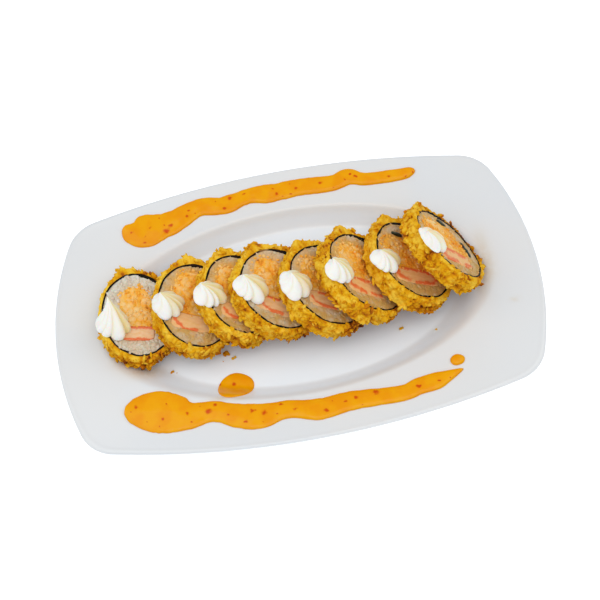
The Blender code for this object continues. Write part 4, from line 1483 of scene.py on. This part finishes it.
@dataclass(frozen=True)
class SauceTrail:
    """A poured trail of sauce on the rim: places (x, y, half width) that it runs through."""

    node: str
    places: tuple
    flecks: tuple
    thickness: float = 1.5
    lift: float = 0.35
    steps: int = 420
    columns: int = 44
    loose_flecks: int = 16

    def spots(self) -> Array:
        """Places and half sizes (x, y, half) of its flecks, the plain ones and seeded small ones."""
        generator = np.random.default_rng((SEED, len(self.places)))
        share = generator.uniform(0.03, 0.97, self.loose_flecks)
        x, y, half = spline(np.array(self.places, float), share).T
        across = generator.uniform(-0.75, 0.75, self.loose_flecks)
        size = generator.uniform(0.3, 0.6, self.loose_flecks)
        own = np.array(self.flecks, float).reshape(-1, 3)
        return np.concatenate([own, np.column_stack([x, y + across * half, size])])

    def fleck(self, flat: Array) -> Array:
        """How near each place lies to a fleck, 1 at its middle, falling off as a bell bent by noise."""
        here = lifted(flat)
        bent = flat + 0.55 * np.stack([noise(here, 1.3, 65), noise(here, 1.3, 66)], -1)
        spots = [(x, y, half * 1.5, half * 1.15, 1.0) for x, y, half in self.spots()]
        return np.clip(bells(bent, spots), 0, 1)

    def surface(self, plate: Plate) -> Surface:
        """A domed section carried along the trail's curve.

        Across the trail the height is a power of sin over half a turn, so that the edge stands round
        on the plate. Below, the section follows the plate.
        """
        share = 0.5 - 0.5 * np.cos(np.linspace(0, math.pi, self.steps))
        share = 0.35 * share + 0.65 * np.linspace(0, 1, self.steps)
        rows = np.array(self.places, float)
        x, y, half = spline(rows, share).T
        near_end = np.minimum(share, 1 - share) * (len(rows) - 1)
        half = half * np.sqrt(1 - (1 - np.clip(near_end / 0.35, 0, 1)) ** 2 * 0.999)
        heading = unit(np.gradient(np.stack([x, y], -1), axis=0))
        across = np.stack([-heading[:, 1], heading[:, 0]], -1)
        over = np.linspace(0, math.pi, self.columns)
        under = np.linspace(-1, 1, 10)[1:-1]
        place = np.concatenate([np.cos(over), under])
        swell = np.concatenate([np.sin(over) ** SAUCE_EDGE_POWER, np.zeros(len(under))])
        middle = np.stack([x, y, 0 * x], -1)
        wave = 1 + 0.05 * noise(middle, 7.0, 61) + 0.03 * noise(middle, 2.5, 62)
        flat = middle[:, None, :2] + across[:, None] * (place[None] * (half * wave)[:, None])[..., None]
        rise = self.lift + self.thickness * np.minimum(1.0, 0.35 + half / 4.0)
        rise = rise * np.clip(near_end / 0.2, 0.15, 1)
        lumps = 1 + 0.08 * noise(lifted(flat), 6.0, 63)
        height = plate.height(flat) + SAUCE_CLEAR + rise[:, None] * swell[None] * lumps
        return tube(lifted(flat, height), {"fleck": self.fleck(flat)})


@dataclass(frozen=True)
class SauceDrop:
    """A drop of sauce on the plate: centre and half lengths along x and y."""

    node: str
    x: float
    y: float
    half_x: float
    half_y: float
    flecks: tuple = ()
    thickness: float = 1.5
    lift: float = 0.35

    def surface(self, plate: Plate) -> Surface:
        """Rings of an oval from under the drop, round its edge and over its dome."""
        angle = np.linspace(0, TAU, 96, endpoint=False)
        over = np.linspace(0, math.pi / 2, 26)
        share = np.concatenate([[0.1, 0.5], np.cos(over)[:-1], [0.03]])
        swell = np.concatenate([[0.0, 0.0], np.sin(over)[:-1] ** SAUCE_EDGE_POWER, [1.0]])
        wave = 1 + 0.025 * np.sin(2 * angle + 0.6) + 0.02 * np.sin(3 * angle + 2.0)
        wave = wave + 0.012 * np.sin(5 * angle)
        spread = share[:, None] * wave[None]
        flat = np.stack([self.half_x * spread * np.cos(angle), self.half_y * spread * np.sin(angle)], -1)
        flat = flat + (self.x, self.y)
        height = plate.height(flat) + SAUCE_CLEAR + (self.lift + self.thickness) * swell[:, None]
        fleck = bells(flat, [(x, y, half, half, 1.0) for x, y, half in self.flecks])
        return tube(lifted(flat, height), {"fleck": fleck})


FAR_TRAIL = SauceTrail("sauce_far", (
    (-95, 66, 1.5), (-90, 62, 8), (-82, 61, 10.6), (-73, 62, 9), (-64, 64, 7.7), (-48, 70.2, 5.6),
    (-33, 68.8, 5.8), (-17, 72, 5.2), (-3, 71.2, 6.1), (14, 71.7, 5.5), (34, 70.3, 5.4),
    (44.5, 72.4, 5.2), (55, 68.7, 4.1),
    (75, 67.4, 3.9), (82, 68, 3.0), (85, 68.2, 0.8),
), (
    (-90, 60.5, 0.8), (-83, 53, 0.9), (-69, 58, 1.5), (-66, 61, 1.2), (-55.5, 65, 0.9), (-54.5, 68.5, 0.7),
    (-32.5, 66, 1.0), (-28.5, 72, 1.1), (-19.5, 73, 0.8), (0, 69, 0.9), (12, 70.5, 0.7), (27, 71, 0.9),
    (49, 71, 0.8), (68.5, 67, 0.8),
))

NEAR_TRAIL = SauceTrail("sauce_near", (
    (-104, -49.5, 2), (-100, -50.5, 7), (-93, -52, 10.8), (-85, -54, 12.2), (-76, -57, 11.2),
    (-68, -59.5, 7.8),
    (-55, -59.5, 5.9), (-42, -64.5, 7.3), (-30, -67, 7.2), (-15, -66, 5.2), (2, -69.2, 6), (20, -67.8, 5.5),
    (47, -69, 4.8), (57, -66.8, 4.9), (67, -65.6, 5.0), (75, -63.7, 3.0), (83, -61.5, 0.6),
), (
    (-97, -49.5, 0.9), (-83, -59, 0.8), (-69.5, -58.5, 0.9), (-58, -59.5, 1.4), (-54, -56, 0.8),
    (-38.5, -69, 0.8),
    (-34.5, -63.5, 0.9), (-28, -66, 1.4), (-18, -63, 0.8), (-11, -67, 0.9), (5.5, -71, 1.0), (16.5, -68, 0.8),
    (22.5, -67, 0.9), (33.5, -66, 1.4), (56.5, -67.5, 1.0),
))

LARGE_DROP = SauceDrop("sauce_drop_large", -42.3, -44.2, 10.1, 8.8,
                       ((-51.0, -41.0, 0.9), (-43.0, -42.5, 1.4)))
SMALL_DROP = SauceDrop("sauce_drop_small", 81.1, -55.7, 4.0, 3.3)


class SauceSet:
    """The two trails and the two drops."""

    def dress(self, plate: Plate) -> None:
        """Add each in place of its solid."""
        sauce = SauceFinish().material()
        for part in (FAR_TRAIL, NEAR_TRAIL, LARGE_DROP, SMALL_DROP):
            name = part.node.replace("sauce", "sauce_wet")
            add_piece(name, part.surface(plate), sauce, (part.node,), 70.0)


@dataclass(frozen=True)
class FallenCrumbs:
    """Crumbs that have fallen on the well's floor, each as (x, y, half size, tone)."""

    crumbs: tuple = (
        (-46.2, -23.3, 1.2, 0.62), (-44.7, -22.7, 1.3, 0.55), (-43.6, -23.6, 0.7, 0.5),
        (-41.8, -26.4, 0.9, 0.3), (-40.2, -25.9, 0.8, 0.25), (-77.6, -28.2, 0.8, 0.6),
        (-76.7, -27.6, 0.7, 0.5), (55.7, -27.2, 0.9, 0.35), (56.9, -26.8, 0.8, 0.25),
        (75.4, -31.9, 0.7, 0.15), (-47.5, -27.0, 0.35, 0.5), (-74.6, -28.8, 0.3, 0.5),
    )

    def surface(self, plate: Plate) -> Surface:
        """Rough flattened lumps resting on the plate."""
        generator = np.random.default_rng((SEED, 99))
        x, y, half, tones = np.array(self.crumbs).T
        count = len(x)
        scales = half[:, None] * generator.uniform(0.8, 1.3, (count, 3)) * (1.2, 1.0, 0.8)
        flat = np.column_stack([x, y])
        centres = lifted(flat, plate.height(flat) + half * 0.5)
        shape = lump()
        rough = generator.uniform(-0.25, 0.25, (count, len(shape.points)))
        turns = turns_about(generator.normal(size=(count, 3)) * (1, 1, 0.3), generator)
        return plate.press(scattered(shape, centres, turns, scales, rough, tones), SAUCE_CLEAR)

    def dress(self, plate: Plate, crumb: bpy.types.Material) -> None:
        """Add the crumbs."""
        add_piece("fallen_crumbs", self.surface(plate), crumb, (), 75.0)


def posed(name: str, data: bpy.types.ID, directions: tuple[Array, Array, Array],
          place: Array) -> bpy.types.Object:
    """A camera or a light at a place in millimetres, with its own x, y and z along three directions."""
    made = bpy.data.objects.new(name, data)
    matrix = Matrix.Identity(4)
    for column, direction in enumerate(directions):
        matrix.col[column][:3] = direction
    matrix.translation = place * MM
    made.matrix_world = matrix
    bpy.context.scene.collection.objects.link(made)
    return made


@dataclass(frozen=True)
class Studio:
    """Pale floor, soft lights and the camera at the photograph's angle."""

    elevation: float = math.radians(64.68)
    azimuth: float = math.radians(0.039)
    roll: float = math.radians(-10.527)
    distance: float = 513.8
    target: tuple[float, float, float] = (2.17, -3.66, 21.0)
    lens: float = 54.0
    sensor: float = 36.0
    floor_half: float = 3000.0
    floor_colour: Colour = (0.95, 0.95, 0.95, 1)
    floor_glow: float = 0.35
    sky: Colour = (0.79, 0.89, 1.0, 1)
    sky_strength: float = 0.68
    sky_in_gloss: float = 0.10
    lamps: tuple = (
        ("window", (-440, 20, 780), 760, 2.0, (1.0, 0.955, 0.885)),
        ("fill", (560, 60, 760), 600, 1.3, (1.0, 0.92, 0.80)),
        ("ceiling", (80, -260, 900), 600, 1.85, (1.0, 0.955, 0.89)),
    )

    def camera(self) -> None:
        """A camera that looks along (-sin az cos el, cos az cos el, -sin el), rolled about that line."""
        azimuth, elevation = self.azimuth, self.elevation
        ahead = np.array([-math.sin(azimuth) * math.cos(elevation), math.cos(azimuth) * math.cos(elevation),
                          -math.sin(elevation)])
        right = unit(np.cross(ahead, [0.0, 0.0, 1.0]))
        up = np.cross(right, ahead)
        cos, sin = math.cos(self.roll), math.sin(self.roll)
        turned = (cos * right + sin * up, cos * up - sin * right, -ahead)
        eye = np.array(self.target) - ahead * self.distance
        data = bpy.data.cameras.new("camera")
        data.lens = self.lens
        data.sensor_width = self.sensor
        bpy.context.scene.camera = posed("camera", data, turned, eye)

    @staticmethod
    def light(name: str, place: tuple[float, float, float], size: float, watts: float,
              colour: tuple[float, float, float]) -> None:
        """A square soft light at a place in millimetres, facing the middle of the plate."""
        data = bpy.data.lights.new(name, "AREA")
        data.size = size * MM
        data.energy = watts
        data.color = colour
        backward = unit(np.array(place))
        sideways = unit(np.cross([0.0, 0.0, 1.0], backward))
        posed(name, data, (sideways, np.cross(backward, sideways), backward), np.array(place))

    def floor(self) -> None:
        """A wide pale floor under the plate."""
        half = self.floor_half * MM
        mesh = bpy.data.meshes.new("floor")
        corners = [(-half, -half, 0), (half, -half, 0), (half, half, 0), (-half, half, 0)]
        mesh.from_pydata(corners, [], [(0, 1, 2, 3)])
        graph = Graph("pale floor", Specular_IOR_Level=0.0, Emission_Strength=self.floor_glow)
        graph.shader.inputs["Emission Color"].default_value = self.floor_colour
        mesh.materials.append(graph.finish(self.floor_colour, 0.9))
        made = bpy.data.objects.new("floor", mesh)
        bpy.context.scene.collection.objects.link(made)

    def world(self) -> None:
        """Even light from all round, dimmer in reflections, as dark cloths round a table make it."""
        made = bpy.data.worlds.new("soft light")
        made.use_nodes = True
        tree = made.node_tree
        background = tree.nodes["Background"]
        background.inputs["Color"].default_value = self.sky
        path = tree.nodes.new("ShaderNodeLightPath")
        level = tree.nodes.new("ShaderNodeMapRange")
        level.inputs["To Min"].default_value = self.sky_strength
        level.inputs["To Max"].default_value = self.sky_in_gloss
        tree.links.new(path.outputs["Is Glossy Ray"], level.inputs["Value"])
        tree.links.new(level.outputs["Result"], background.inputs["Strength"])
        bpy.context.scene.world = made

    def set_up(self) -> None:
        """Add floor, lights and camera, with a plain view transform."""
        self.floor()
        self.world()
        for lamp in self.lamps:
            self.light(*lamp)
        self.camera()
        bpy.context.scene.view_settings.view_transform = "Standard"
        bpy.context.scene.view_settings.exposure = 0.0


def main() -> None:
    """Build and dress every piece."""
    logging.basicConfig(level=logging.INFO, format="%(name)s: %(message)s")
    plate = Plate()
    crumb = CrumbFinish().material()
    plate.dress(GlazeFinish())
    RollRow(plate).dress(crumb)
    SauceSet().dress(plate)
    FallenCrumbs().dress(plate, crumb)
    Studio().set_up()


if __name__ == "__main__":
    main()
